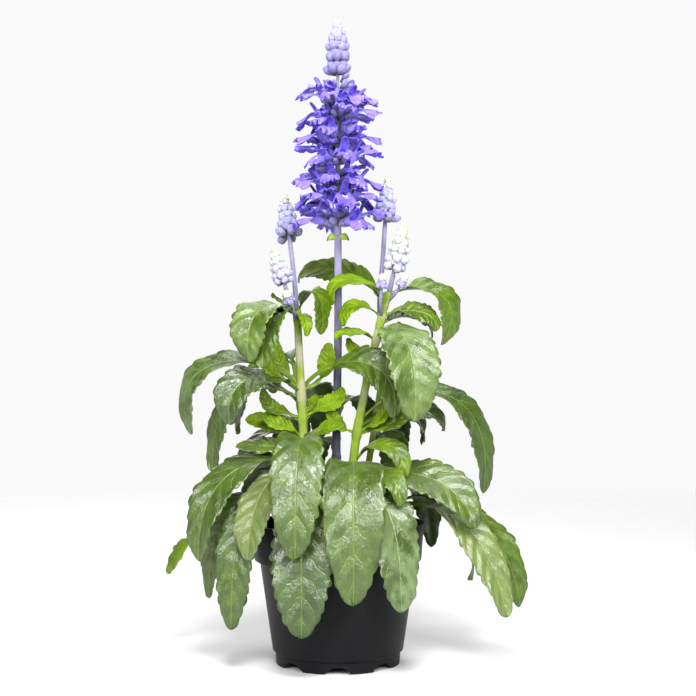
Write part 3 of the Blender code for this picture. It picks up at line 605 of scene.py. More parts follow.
# %% The rows
Leaf = namedtuple("Leaf", "stem height azimuth reach rise drop hang width roll stalk")
LEAVES = [Leaf(*row) for row in [
    # Broad leaves at the front, and those that hang over the rim
    ("stem_right", 120, -90, 57, 8, 74, 102, 40, 0, 8),
    ("stem_left", 134, -90, 53, 8, 62, 102, 34, 0, 10),
    ("stem_right", 200, -55, 38, 8, 50, 115, 36, 18, 10),
    ("shoot_front", 88, -98, 38, 17, 62, 102, 39, 0, 16),
    ("stem_right", 98, -58, 54, 12, 58, 102, 34, 0, 22),
    ("shoot_right", 95, -26, 78, 5, 62, 82, 25, 40, 26),
    ("shoot_right", 96, -20, 81.5, 3, 60, 90, 27, 36, 26),
    ("shoot_left", 98, -128, 51, 12, 72, 102, 26, -20, 26),
    ("stem_left", 124, -163, 66, 4, 58, 104, 28, -40, 16),
    ("stem_right", 114, -18, 77, 6, 28, 88, 30, 50, 14),
    # Arching leaves of the left stem
    ("stem_left", 215, -136, 38, 8, 26, 120, 28, -20, 14),
    ("stem_left", 214, -110, 32, 6, 24, 102, 23, 0, 12),
    ("stem_left", 214, -28, 17, 15, 12, 120, 18, 10, 12),
    ("stem_left", 214, 140, 20, 6, -14, 102, 10, 0, 12),
    ("stem_left", 169, 180, 67, 19, 28, 132, 21, -40, 26),
    ("stem_left", 165, -150, 48, 13, 17, 115, 28, -35, 16),
    ("stem_left", 162, 168, 56, 10, 45, 110, 24, -50, 18),
    ("stem_left", 112, -138, 46, 8, 44, 95, 26, -20, 26),
    ("stem_left", 168, -10, 57, 19, 17, 112, 25, 60, 28),
    # Arching leaves of the right stem
    ("stem_right", 226, 5, 33, 6, 30, 170, 25, 45, 14),
    ("stem_right", 220, 142, 73, 22, -16, 102, 20, -55, 14),
    ("stem_right", 224, -171, 34, 12, 4, 115, 13, -40, 14),
    ("stem_right", 148, 5, 77, 23, 44, 115, 24, 46, 32),
    ("stem_right", 213, -8, 32, 4, 9, 115, 18, 42, 14),
    ("stem_right", 212, -166, 24, 8, 5, 115, 12, -40, 14),
    ("stem_right", 208, 30, 38, 6, 8, 102, 19, 30, 14),
    ("stem_right", 198, -164, 25, 7, -5, 102, 11, -30, 14),
    ("stem_right", 122, -32, 34, 14, 8, 120, 15, 40, 18),
    ("stem_right", 108, -42, 44, 12, 8, 105, 17, 30, 16),
    ("stem_right", 144, 14, 56, 12, 2, 102, 21, 40, 22),
    ("stem_right", 142, 34, 52, 10, 8, 102, 20, 30, 18),
    ("stem_right", 100, 2, 80, 12, 26, 100, 25, 40, 22),
    # Small bright leaves in the forks
    ("stem_left", 169, -176, 25, 3, -30, 102, 12, -70, 30),
    ("stem_left", 170, 160, 17, 5, -26, 102, 10, -60, 30),
    ("stem_left", 168, 14, 17, 2, -29, 102, 12, 65, 40),
    ("stem_left", 137, 176, 36, 10, -12, 102, 14, -65, 20),
    ("stem_left", 138, -166, 24, 6, -11, 102, 12, -50, 20),
    ("stem_left", 150, 168, 25, 3, -19, 102, 10, -60, 24),
    ("stem_left", 138, -24, 26, 6, -10, 102, 13, 50, 20),
    ("stem_left", 150, 10, 24, 6, -20, 102, 13, 60, 24),
    ("stem_left", 152, 40, 28, 8, -14, 102, 14, 30, 24),
    ("stem_left", 211, -62, 13, 4, 10, 102, 9, 0, 14),
    ("stem_right", 141, -172, 16, 5, -25, 102, 11, -60, 24),
    ("stem_right", 140, -18, 20, 6, -24, 102, 11, 60, 24),
    ("stem_right", 140, -4, 32, 6, -22, 102, 12, 60, 20),
    ("stem_right", 188, -176, 14, 4, -20, 102, 9, -60, 24),
    ("stem_right", 190, 4, 16, 4, -20, 102, 9, 60, 24),
    # Low leaves at the sides
    ("shoot_left", 93, 158, 88, 6, 45, 62, 13, -60, 74),
    ("shoot_left", 100, -165, 48, 8, 60, 102, 20, -35, 26),
    ("shoot_left", 96, -150, 37, 10, 52, 102, 24, -35, 24),
    ("stem_left", 116, 172, 56, 8, 18, 105, 23, -40, 18),
    ("stem_left", 127, -178, 42, 6, -6, 102, 17, -35, 14),
    ("shoot_left", 94, 150, 46, 14, 36, 102, 25, -20, 22),
    ("shoot_right", 92, 12, 60, 12, 46, 102, 26, 30, 22),
    ("shoot_right", 94, 38, 52, 16, 30, 102, 26, 10, 18),
    # Leaves between the stems and at the back
    ("stem_right", 176, 60, 34, 8, 6, 102, 20, 20, 14),
    ("stem_main", 150, 62, 42, 14, 10, 102, 19, 0, 16),
    ("stem_main", 126, 112, 44, 12, 12, 102, 22, 0, 16),
    ("stem_back_left", 182, 118, 32, 10, 18, 102, 19, 0, 12),
    ("stem_back_left", 182, -165, 30, 8, 14, 102, 15, -20, 12),
    ("stem_back_left", 158, 160, 44, 14, 20, 102, 22, 0, 14),
    ("stem_back_left", 156, 72, 40, 16, 22, 102, 23, 0, 14),
    ("stem_back_left", 134, 105, 42, 16, 30, 102, 27, 0, 14),
    ("stem_back_left", 132, 176, 42, 10, 24, 102, 20, -20, 14),
    ("stem_back_left", 112, 138, 50, 14, 36, 102, 29, 0, 14),
    ("stem_back_right", 176, 62, 36, 10, 20, 102, 19, 0, 12),
    ("stem_back_right", 176, 14, 28, 6, 14, 102, 15, 20, 12),
    ("stem_back_right", 152, 26, 44, 14, 22, 102, 21, 10, 14),
    ("stem_back_right", 150, 84, 38, 14, 22, 102, 23, 0, 14),
    ("stem_back_right", 130, 66, 42, 14, 34, 102, 27, 0, 14),
    ("shoot_back", 102, 92, 35, 12, 54, 102, 29, 0, 16),
    ("shoot_back", 100, 134, 42, 14, 46, 102, 27, 0, 16),
    ("shoot_back", 98, 50, 40, 14, 46, 102, 26, 0, 16),
]]
print("leaves planned:", len(LEAVES))

# %% Lay a leaf along its arch
STALK_HALF_WIDTH = 1.1
FOLD = math.radians(14)
RIPPLE = 0.06
ARCH_POINTS = 41


def outward(leaf):
    """The level direction that a leaf points in."""
    turn = math.radians(leaf.azimuth)
    return Vector((math.cos(turn), math.sin(turn), 0))


def tip_of(root, leaf):
    return root + outward(leaf) * leaf.reach - UP * leaf.drop


def gone_along(line):
    """How far along a line each of its points lies."""
    steps = np.linalg.norm(np.diff(line, axis=0), axis=1)
    return np.concatenate([[0], np.cumsum(steps)])


def arch_of(root, leaf):
    """The line of a leaf's midrib, with the share of its length that lies behind each point."""
    out = outward(leaf)
    top = UP * leaf.rise * 4 / 3
    bend, fall = root + out * leaf.reach * 0.3 + top, root + out * leaf.reach * leaf.hang / 100 + top
    arch = np.array(interpolate_bezier(root, bend, fall, tip_of(root, leaf), ARCH_POINTS))
    gone = gone_along(arch)
    return arch, gone / gone[-1]


def half_width(along, leaf):
    """Half the width of a leaf: a narrow stalk, then a long oval with a blunt point."""
    stalk = leaf.stalk / 100
    u = np.clip((along - stalk) / (1 - stalk), 0, 1)
    oval = leaf.width / 2 * np.sin(np.pi * u**0.9).clip(0, 1) ** (0.7 - 0.2 * u)
    return np.where(along <= stalk, STALK_HALF_WIDTH, np.maximum(oval, STALK_HALF_WIDTH * (1 - 0.5 * u)))


def soft_fold(across):
    """A fold at the midrib that is round and not sharp."""
    return (np.sqrt(across**2 + 0.012) - 0.11) / 0.895


def lay(root, leaf, across, along, soft):
    """Points of a leaf's surface: across from -1 to 1, along from 0 at the stem to 1 at the tip."""
    arch, gone = arch_of(root, leaf)
    place = np.stack([np.interp(along, gone, arch[:, i]) for i in range(3)], axis=1)
    runs = np.diff(arch, axis=0)
    runs /= np.linalg.norm(runs, axis=1)[:, None]
    if soft:
        middles = (gone[1:] + gone[:-1]) / 2
        ahead = np.stack([np.interp(along, middles, runs[:, i]) for i in range(3)], axis=1)
        ahead /= np.linalg.norm(ahead, axis=1)[:, None]
    else:
        ahead = runs[np.clip(np.searchsorted(gone, along, side="right") - 1, 0, ARCH_POINTS - 2)]
    side = np.array(UP.cross(outward(leaf)))
    turn = (np.radians(leaf.roll) * np.minimum(1, along * 1.6))[:, None]
    flank = side * np.cos(turn) + np.cross(ahead, side) * np.sin(turn)
    face = np.cross(ahead, flank)
    half = half_width(along, leaf)
    ripple = RIPPLE * leaf.width * np.sin(along * 9 + leaf.azimuth) * (along > leaf.stalk / 100)
    fold = soft_fold(across) if soft else np.abs(across)
    rise = fold * (half * np.sin(FOLD) * (1 - 0.5 * along) + ripple)
    return place + flank * (across * half)[:, None] + face * rise[:, None], face, half


# %% Find each leaf on the solid model
SWINGS = (0, 4, -4, 8, -8, 12, -12, 17, -17, 23, -23, 30, -30)
LIFTS = (0, 4, -4, 8, -8, 12, -12)
SIZES = (1, 0.88, 0.76)
MOVES = [(abs(s) + abs(h) + 90 * (1 - k), s, h, k) for s in SWINGS for h in LIFTS for k in SIZES]
MOVES.sort(key=lambda move: move[0])
CLOSE = 0.6
# Places on the blade that have to touch the solid leaf, across and along
TOUCH_ACROSS = np.array([0, 0, 0.4, 0.4, -0.4, -0.4])
TOUCH_ALONG = np.array([0.5, 0.75, 0.5, 0.75, 0.5, 0.75])


def solid_tree(node):
    """What is needed to ask how far a point lies from a solid."""
    mesh = frame["nodes"][node].data
    return BVHTree.FromPolygons([v.co / MM for v in mesh.vertices], [f.vertices for f in mesh.polygons])


def moved(leaf, swing, lift, size):
    return leaf._replace(
        azimuth=leaf.azimuth + swing, reach=leaf.reach * size, rise=leaf.rise * size + lift / 3,
        drop=leaf.drop * size - lift, width=leaf.width * size,
    )


def lies_on(tree, root, leaf):
    """Whether a leaf's tip, and then its blade, touch the solid leaf."""
    if tree.find_nearest(tip_of(root, leaf))[3] > CLOSE:
        return False
    points, _, _ = lay(root, leaf, TOUCH_ACROSS, TOUCH_ALONG, False)
    return all(tree.find_nearest(Vector(point))[3] < 2 * CLOSE for point in points)


settled = []
trees = {name: solid_tree(name) for name in STEMS}
for row in LEAVES:
    root = point_at_height(lines[row.stem][0], row.height)
    for _, *move in MOVES:
        tried = moved(row, *move)
        if lies_on(trees[row.stem], root, tried):
            settled.append((root, tried))
            break
    else:
        print("not on the solid model:", row)
print("leaves found:", len(settled), "of", len(LEAVES))

# %% [markdown]
# ## One leaf, modelled flat
#
# A sage leaf is a long oval with blunt teeth in its outer two thirds. Every leaf is the same flat
# strip laid along its own arch, so the strip is modelled only once, from a grid. Each row of points
# at the margin is drawn in a little by its place in a tooth. Two strips are enough: a fine one for
# broad leaves and a coarser one, with fewer teeth, for small ones.

# %% Cut the teeth
SHANK = 0.14
TOOTH = (0.9, 0.93, 0.965, 0.985, 1.0, 0.985)
FIRST_TOOTH = 0.36


def model_strip(teeth, across):
    """A flat strip from -1 to 1 across and 0 to 1 along, with a toothed margin."""
    rows = teeth * len(TOOTH)
    start_fresh()
    bpy.ops.mesh.primitive_grid_add(x_subdivisions=across, y_subdivisions=rows, size=2 * MM)
    strip = edit_new()
    bpy.ops.transform.translate(value=(0, MM, 0))
    bpy.ops.transform.resize(value=(1, 0.5, 1), center_override=(0, 0, 0))
    for step, width in enumerate(TOOTH):
        pick(strip, lambda co: abs(co.x) > 0.99 and co.y > FIRST_TOOTH
             and round(co.y * rows) % len(TOOTH) == step)
        bpy.ops.transform.resize(value=(width, 1, 1), center_override=(0, 0, 0))
    bpy.ops.object.mode_set(mode="OBJECT")
    return take(strip)


broad_strip = model_strip(14, 12)
small_strip = model_strip(7, 8)
print("points of a broad strip:", len(broad_strip[0]), "of a small one:", len(small_strip[0]))

# %% [markdown]
# ## Lay the leaves
#
# A leaf blade sinks along its veins and swells between them, and it rolls a little at the margin.
# That relief is a formula of the place on the strip: how far from the midrib, and how far along.
# The same places are kept as marks on the points, so that the finish can draw the veins where the
# relief has them. The stalk is a narrow channel, thicker than the blade.

# %% Veins and swelling
VEIN_PAIRS = 7
VEIN_LEAN = 0.16
VEIN_CURVE = 0.07


def quilt(across, along):
    """How far the blade swells between its side veins, from 0 on a vein to 1."""
    lean = VEIN_LEAN * np.abs(across) + VEIN_CURVE * across**2
    phase = (along - lean) * VEIN_PAIRS
    return np.abs(np.sin(np.pi * phase)) ** 0.7 * (1 - np.exp(-((across / 0.12) ** 2)))


# %% Lay one leaf
# Leaves that have paled with age, by their row in the plan
FADED = (5, 17)
# Leaves whose upper side gets a painted silvery sheen, a painted reflection of the lamps, from 0 to 1
PAINTED_SHEEN = {2: 0.2, 4: 0.42, 10: 0.1, 14: 0.18}
# The least width of a broad leaf, and those under which a leaf is young and very young
BROAD, YOUNG, YOUNGEST = 18, 19, 14.5
# Relief of the blade, as shares of its width: swelling, rolled margin, crisped margin and slow waves
SWELL, ROLL, CRISP, WAVE = 0.026, 0.05, 0.036, 0.03


def youth(leaf, rng):
    """How bright and yellow a leaf is: small leaves near the tip of a stem are the youngest."""
    young = 0.8 if leaf.width < YOUNGEST else 0.42 if leaf.width < YOUNG else 0.2
    return min(1, max(0, young + rng.uniform(-0.16, 0.18)))


def lay_leaf(root, leaf, seed):
    """One fine leaf as its points, faces and marks."""
    strip, faces = broad_strip if leaf.width >= BROAD else small_strip
    stalk = leaf.stalk / 100
    across, share, _ = strip.T
    shank = share < SHANK
    along = np.where(shank, share / SHANK * stalk, stalk + (share - SHANK) / (1 - SHANK) * (1 - stalk))
    blade = np.clip((along - stalk) / (1 - stalk), 0, 1)
    rng = random.Random(seed)
    nibble = np.sin(blade * 41 + rng.uniform(0, 6)) * np.sin(blade * 19 + rng.uniform(0, 6) + across)
    outline = across * (1 - 0.035 * (1 + nibble) * (np.abs(across) > 0.85) * (blade > 0.3))
    points, face, half = lay(root, leaf, outline, along, True)
    swell = SWELL * rng.uniform(0.8, 1.2) * quilt(across, blade) * np.sin(np.pi * blade) ** 0.5
    roll = ROLL * np.abs(across) ** 4 * blade
    crisp = CRISP * across**3 * np.sin(blade * 22 + rng.uniform(0, 6))
    wave = WAVE * across * np.sin(blade * 9 + rng.uniform(0, 6)) * blade
    points = points + face * (leaf.width * (swell - roll + crisp + wave))[:, None]
    marks = {
        "blade": np.stack([across, blade, half], axis=1),
        "stalk": np.where(shank, 1.0, 0.0),
        "sprout": np.full(len(along), youth(leaf, rng)),
        "faded": np.full(len(along), 1.0 if seed in FADED else rng.uniform(0, 0.12)),
        "painted_sheen": np.full(len(along), PAINTED_SHEEN.get(seed, 0.0)),
    }
    return points, [tuple(reversed(f)) for f in faces], marks


# %% Give the leaves a thickness
LEAF_THICK = 0.42
STALK_THICK = 1.5


def build_leaves(stem):
    """All leaves of one stem as one piece."""
    laid = [lay_leaf(root, leaf, seed) for seed, (root, leaf) in enumerate(settled) if leaf.stem == stem]
    marks = {key: [own[key] for _, _, own in laid] for key in laid[0][2]}
    thing = gather(stem + "_leaves", [(points, faces) for points, faces, _ in laid], marks)
    across, along, _ = np.concatenate(marks["blade"]).T
    share = LEAF_THICK / STALK_THICK
    rib = share + (1 - share) * 0.55 * (1 - along) * (np.abs(across) < 0.05)
    thick = thing.vertex_groups.new(name="thick")
    for index, weight in enumerate(np.where(np.concatenate(marks["stalk"]) > 0.5, 1.0, rib)):
        thick.add([index], float(weight), "REPLACE")
    wall = {"thickness": STALK_THICK * MM, "offset": -0.2, "vertex_group": "thick", "material_offset": 1}
    modify(thing, "SOLIDIFY", **wall)
    return thing


leaf_pieces = {stem: build_leaves(stem) for stem in STEMS}
print("faces of all leaves:", sum(len(thing.data.polygons) for thing in leaf_pieces.values()))

# %% [markdown]
# The upper side of a leaf is deep green, paler along the veins and at the very margin, with a waxy
# gloss. Young leaves are brighter and more yellow. The under side is greyer and dull, with raised
# veins. Painted shade darkens both sides in patches and between the side veins, and some leaves get a
# pale silvery sheen painted on their upper side, a painted reflection of the lamps. Gloss is lower
# among the stems, as painted shade inside the bush. Both finishes read the marks that were laid with
# the leaf, so the veins bend with it.

# %% Finish the leaves
# Among the stems, within this reach, the gloss of the leaves is lower, as painted shade inside the bush
INSIDE, OUTSIDE = 14, 42


def leaf_finish(name, under, old, young, pale):
    """The finish of one side of a leaf."""
    skin = Finish(name)
    across, along, half = skin.mark("blade", "Vector").parts()
    sprout = skin.mark("sprout")
    far = across.math("ABSOLUTE")
    rib = (far * half).band(0.8, 0.25)
    wander = (skin.noise(160, 2) - 0.5) * 0.1
    phase = (along + wander - (far * VEIN_LEAN + far * far * VEIN_CURVE)) * VEIN_PAIRS
    near = ((phase + 0.5).math("FRACT") - 0.5).math("ABSOLUTE")
    vein = near.band(0.07, 0.01) * far.band(0.98, 0.6) * skin.noise(210, 2).band(0.3, 0.6)
    veins = (rib * 0.8).math("MAXIMUM", vein * 0.55).math("MAXIMUM", skin.mark("stalk"))
    cells = {"Vector": skin.where, "Scale": 620}
    net = skin.node("ShaderNodeTexVoronoi", cells, "Distance", feature="DISTANCE_TO_EDGE").band(0.12, 0.02)
    mottle = skin.noise(90, 4, 0.6)
    green = skin.mix(sprout, old, young)
    # Painted shade: a near-black green mixed into the blade in random patches and between the side veins,
    # where the rumpled blade would lie in shade
    deep = skin.mix(0.6, green, (0.0, 0.01, 0.0))
    green = skin.mix(mottle.band(0.3, 0.65), deep, green)
    green = skin.mix(near.band(0.1, 0.45) * 0.3, green, deep)
    for share in (net * 0.08, veins * 0.24, far.band(0.955, 0.99) * 0.3):
        green = skin.mix(share, green, pale)
    green = skin.mix(skin.mark("faded") * 0.55, green, (0.15, 0.19, 0.06))
    if not under:
        # A pale silvery sheen painted on the upper side of some leaves, a painted reflection of the lamps
        painted_sheen = skin.mark("painted_sheen") * mottle.band(0.36, 0.6)
        green = skin.mix(painted_sheen * 0.5, green, (0.3, 0.39, 0.24))
    sign = 1.0 if under else -1.0
    height = veins * sign + net * (sign * 0.12) + skin.noise(700, 2) * 0.25
    skin.relief(height + near * (-2.2 * sign) + skin.noise(150, 3, 0.55) * 3.4, 0.28 * MM, 0.9)
    # Gloss drops towards the middle of the bush: painted shade there
    east, north, _ = skin.where.parts()
    away = (east * east + north * north).math("SQRT")
    gloss = sprout.band(0, 1, 0.3 if under else 0.8, 0.2, "LINEAR")
    skin.surface(
        Base_Color=green, Roughness=0.65 if under else mottle.band(0, 1, 0.24, 0.42, "LINEAR"),
        Specular_IOR_Level=gloss * away.band(INSIDE * MM, OUTSIDE * MM, 0.25, 1),
    )
    return skin


upper_skin = leaf_finish("leaf_upper", False, (0.02, 0.051, 0.001), (0.16, 0.27, 0.001), (0.2, 0.31, 0.02))
under_skin = leaf_finish("leaf_under", True, (0.08, 0.125, 0.02), (0.18, 0.29, 0.03), (0.26, 0.36, 0.08))
for stem, thing in leaf_pieces.items():
    present(thing, stem + "_leaves", "leaf", stem, upper_skin, under_skin)

# %% [markdown]
# ## Draw the stems
#
# The section is a circle whose handles are pulled out until it is nearly square. It is drawn along
# each line, and the radius of each point tapers the stem and thickens it at the leaf joints.

# %% The section and the lines
CORNER_PULL = 1.42


def stem_section():
    """A square with round corners, one millimetre from its centre to its side."""
    start_fresh()
    bpy.ops.curve.primitive_bezier_circle_add(radius=0.98 * MM)
    section = bpy.context.object
    section.data.resolution_u = 5
    for corner in section.data.splines[0].bezier_points:
        corner.handle_left_type = corner.handle_right_type = "FREE"
        corner.handle_left = corner.co + (corner.handle_left - corner.co) * CORNER_PULL
        corner.handle_right = corner.co + (corner.handle_right - corner.co) * CORNER_PULL
    return section


section = stem_section()
JOINT_LENGTH = 1.7
JOINT_SWELL = 0.2


def draw_stem(line, low, high, joints=()):
    """The points and faces of a stem along its line, which tapers from one radius to another."""
    curve = bpy.data.curves.new("stem_line", "CURVE")
    curve.dimensions = "3D"
    curve.bevel_mode = "OBJECT"
    curve.bevel_object = section
    curve.use_fill_caps = True
    spline = curve.splines.new("POLY")
    spline.points.add(len(line) - 1)
    for i, place in enumerate(line):
        swell = min(1, sum(math.exp(-(((place.z - joint) / JOINT_LENGTH) ** 2)) for joint in joints))
        spline.points[i].co = (*(place * MM), 1)
        spline.points[i].radius = (low + (high - low) * i / (len(line) - 1)) * (1 + JOINT_SWELL * swell)
    guide = bpy.data.objects.new("stem_line", curve)
    link(guide)
    start_fresh()
    guide.select_set(True)
    bpy.context.view_layer.objects.active = guide
    bpy.ops.object.convert(target="MESH")
    return take(guide)


def even_line(points, spacing):
    """Points at even steps along a line."""
    gone = gone_along(points)
    goals = np.linspace(0, gone[-1], max(2, int(gone[-1] / spacing)))
    return [Vector([np.interp(goal, gone, np.array(points)[:, i]) for i in range(3)]) for goal in goals]


# %% Draw each stem with its branches
# How violet each stem is, at its foot and at its end, from 0 to 1
FLUSH = {"stem_main": (0.42, 0.98)}
PLAIN_FLUSH = (0.0, 0.26)
BRANCH_FLUSH = (0.72, 1.0)
STEM_STEP = 1.6


def build_stem(name):
    """One stem with its branches, as one piece with a mark for how violet it is."""
    copies, flush = [], []
    joints = sorted({leaf.height for _, leaf in settled if leaf.stem == name})
    fine = stem_lines(STEMS[name], 8)
    for number, (_, low, high) in enumerate(STEMS[name]):
        line = even_line(fine[number], STEM_STEP)
        points, faces = draw_stem(line, low, high, () if number else joints)
        copies.append((points, faces))
        start, end = BRANCH_FLUSH if number else FLUSH.get(name, PLAIN_FLUSH)
        reach = (points[:, 2] - line[0].z) / max(1, line[-1].z - line[0].z)
        flush.append(np.clip(start + (end - start) * reach, 0, 1))
    return gather(name + "_stalks", copies, {"flush": flush})


stem_pieces = {name: build_stem(name) for name in STEMS}
print("faces of all stems:", sum(len(thing.data.polygons) for thing in stem_pieces.values()))

# %% Finish the stems
rind = Finish("stem_rind")
flush = rind.mark("flush")
stretched = rind.node("ShaderNodeMapping", {"Vector": rind.where, "Scale": (1, 1, 0.06)})
streak = rind.noise(1500, 3, 0.6, stretched)
flour = rind.noise(2400, 2, 0.6).band(0.58, 0.75)
green = rind.mix(streak, (0.075, 0.13, 0.001), (0.2, 0.28, 0.002))
blush = rind.noise(70).band(0.42, 0.62) * flush.band(0.08, 0.24)
green = rind.mix(blush * 0.6, green, (0.36, 0.29, 0.3))
slate = rind.mix(streak, (0.028, 0.032, 0.05), (0.065, 0.068, 0.11))
lavender = rind.mix(streak, (0.13, 0.12, 0.22), (0.26, 0.245, 0.37))
colour = rind.mix(flush.band(0.28, 0.4), green, slate)
colour = rind.mix(flush.band(0.68, 0.96), colour, lavender)
colour = rind.mix(flour * 0.1, colour, (0.6, 0.6, 0.68))
rind.relief(streak + flour * 0.5, 0.12 * MM)
rind.surface(Base_Color=colour, Roughness=0.6, Sheen_Weight=0.1, Specular_IOR_Level=0.35)
for name, thing in stem_pieces.items():
    present(thing, name + "_stalks", "stem_main" if name == "stem_main" else "leaf", name, rind)

# %% [markdown]
# ## One flower, modelled once
#
# A mealycup sage flower has two parts. The calyx is a ribbed, mealy cup with three short teeth. Out of
# it comes a tube that opens into two lips: a narrow dark hood above, and below it a broad pale lip of
# two lobes with two white marks at the throat. Both parts grow from a circle by extrusion, as on the
# plant they grow from a ring. The flower points along +Z and its hood is towards +Y, and its places
# are in millimetres.

# %% The plan of the flower
FLOWER_REACH = 28
PETAL_SIDES = 28
# The rings of the tube, as radius, height and shift towards the hood
TUBE = [(1.3, 5, 0), (1.6, 8.5, 0), (2.2, 11.5, 0.2), (2.8, 14.2, 0.5)]
# How far each step of a lip goes outward and up, and how it spreads across and flattens
HOOD = [(1.2, 1.3, 0.92, 1.0), (1.4, 1.5, 0.9, 0.9), (1.3, 1.2, 0.85, 0.8), (0.9, 0.7, 0.75, 0.7),
        (0.4, 0.2, 0.5, 0.5)]
LIP = [(1.5, -0.1, 1.36, 0.75), (1.8, -0.5, 1.3, 0.68), (2.0, -0.9, 1.2, 0.7), (2.2, -1.2, 1.13, 0.7),
       (2.0, -1.3, 1.04, 0.8), (1.5, -1.1, 0.92, 0.8), (0.8, -0.7, 0.78, 0.8)]


def grow_lip(flower, steps, upper):
    """Draws the upper or the lower half of the open rim out into a lip."""
    _, height, middle = TUBE[-1]
    side = 1 if upper else -1
    pick(flower, lambda co: abs(co.z - height) < 0.01 and (co.y - middle) * side >= -0.01)
    for out, up, spread, flat in steps:
        bpy.ops.mesh.extrude_region_move(TRANSFORM_OT_translate={"value": (0, up * MM, out * MM)})
        middle += up
        bpy.ops.transform.resize(value=(spread, flat, 1), center_override=(0, middle * MM, 0))


def model_petals():
    """The tube, hood and lip of one flower."""
    radius, height, _ = TUBE[0]
    flower = add_ring(radius, height, PETAL_SIDES, "NOTHING")
    grow_rings(TUBE)
    grow_lip(flower, HOOD, True)
    grow_lip(flower, LIP, False)
    bpy.ops.object.mode_set(mode="OBJECT")
    return take(flower)


petal_points, petal_faces = model_petals()
print("petal points:", len(petal_points))


# %% Shape the lobes of the lip
def shape_lobes(points):
    """Notches the lip at its middle, waves its margin and hollows its lobes."""
    points = points.copy()
    x, y, z = points.T
    lip = np.clip((z - 15) / 10, 0, 1) * (y < 0.4)
    share = np.clip(np.abs(x) / 7.2, 0, 1)
    points[:, 2] += lip * (3.4 * np.sin(np.pi * share) - 2.5) + 0.7 * lip**3 * np.cos(x * 4.1)
    points[:, 1] += lip**2 * (1.3 * np.sin(np.pi * share * 1.6) + 0.9 * np.sin(x * 2.1) - 0.4)
    return points


petal_points = shape_lobes(petal_points)
print("reach of a flower in mm:", round(petal_points[:, 2].max(), 1))


# %% Model the calyx
CALYX_RINGS = [(0.9, 0.7), (1.7, 1.6), (2.3, 4), (2.5, 6.4), (2.35, 8.6), (2.6, 9.8), (1.9, 8.6)]


def model_calyx():
    """The ribbed cup, closed at its foot and running back inside at its mouth."""
    points, faces = take(raise_rings(CALYX_RINGS, 20))
    angle = np.arctan2(points[:, 1], points[:, 0])
    rib = 1 + 0.07 * np.cos(10 * angle) * (points[:, 2] > 1)
    points[:, :2] *= rib[:, None]
    points[:, 2] += np.where(points[:, 2] > 9, 0.9 * np.cos(3 * (angle - math.pi / 2)), 0)
    return points, faces


calyx_points, calyx_faces = model_calyx()
print("calyx faces:", len(calyx_faces))

# %% [markdown]
# ## One closed bud
#
# Before a flower opens, its calyx is a small ribbed oval with a pinched tip. A ball of few faces is
# drawn out and ribbed, because there will be hundreds.


# %% Model the bud
def model_bud():
    """A closed calyx, one unit long from its foot at the origin and one unit wide."""
    start_fresh()
    bpy.ops.mesh.primitive_uv_sphere_add(segments=12, ring_count=8, radius=0.5 * MM)
    bud = edit_new()
    bpy.ops.transform.translate(value=(0, 0, 0.5 * MM))
    pick(bud, lambda co: co.z > 0.8)
    bpy.ops.transform.resize(value=(0.8, 0.8, 1), center_override=(0, 0, 0))
    pick(bud, lambda co: co.z > 0.99)
    bpy.ops.transform.translate(value=(0, 0, -0.07 * MM))
    bpy.ops.object.mode_set(mode="OBJECT")
    points, faces = take(bud)
    angle = np.arctan2(points[:, 1], points[:, 0])
    points[:, :2] *= (1 + 0.06 * np.cos(6 * angle))[:, None]
    points[:, :2] *= (0.72 + 0.4 * points[:, 2])[:, None]
    return points, faces


bud_points, bud_faces = model_bud()
print("bud faces:", len(bud_faces))

# %% [markdown]
# ## Build the flower heads
#
# Flowers and buds stand in whorls round the stem. The plan gives each whorl its height, how many it
# holds and how far it reaches, and small random turns make it natural. The draws are made in the same
# order as for the solid model, so each fine flower stands where its solid one does.

# %% The plan of the heads
GAP = 0.3
Head = namedtuple("Head", "stem branch height radius buds flowers", defaults=[()])


def cluster(reach):
    """The two small whorls of a young cluster."""
    return [(3.3, 5, reach, 5), (7, 5, reach - 1, 4.6)]


HEADS = {
    "spike_main": Head(
        "stem_main", 0, 133, 2.2,
        [(102, 6, 10, 9), (109.3, 6, 9.7, 8.4), (115.4, 6, 9.2, 7.6), (120.6, 6, 7.6, 7), (125, 5, 5.8, 6),
         (128.8, 5, 4.3, 5), (131.6, 5, 2.8, 3.8)],
        [(9.5 + 12.6 * n, 7, 30 - 0.6 * n) for n in range(7)],
    ),
    "spike_left": Head("stem_left", 1, 35, 1.3, [
        (5.8, 5, 9.6, 9), (12.6, 6, 7.4, 8), (18.4, 5, 6.6, 7.2), (23.6, 5, 5.6, 6.6), (28.2, 5, 4.4, 5.6),
        (32.2, 5, 3.2, 4.8),
    ]),
    "spike_left_low": Head("stem_left", 2, 24.5, 1.3, [
        (4.2, 5, 6.2, 6.4), (8.2, 6, 6.8, 6.8), (12.6, 6, 6, 6.2), (16.6, 5, 5, 5.6), (20, 5, 3.9, 4.8),
        (22.8, 5, 2.8, 3.8),
    ]),
    "spike_right": Head("stem_right", 2, 30, 1.3, [
        (5.8, 5, 9.5, 9), (12, 6, 7.2, 7.5), (17, 5, 6.2, 6.5), (21.2, 5, 5, 6), (24.8, 5, 3.9, 5),
        (28, 5, 2.8, 4.2),
    ]),
    "spike_right_low": Head("stem_right", 1, 31, 1.3, [
        (5.2, 5, 7.6, 8), (10, 6, 8.2, 8), (15.5, 6, 7.2, 7.2), (20, 5, 6, 6.4), (24.2, 5, 4.8, 5.6),
        (28, 5, 3.4, 4.8),
    ]),
    "bud_cluster_left": Head("stem_left", 3, 8, 0.9, cluster(4.4)),
    "bud_cluster_right": Head("stem_right", 4, 8, 0.9, cluster(4)),
    "bud_cluster_middle": Head("stem_right", 3, 8, 0.9, cluster(4.2)),
}
print("whorls of buds:", sum(len(plan.buds) for plan in HEADS.values()))


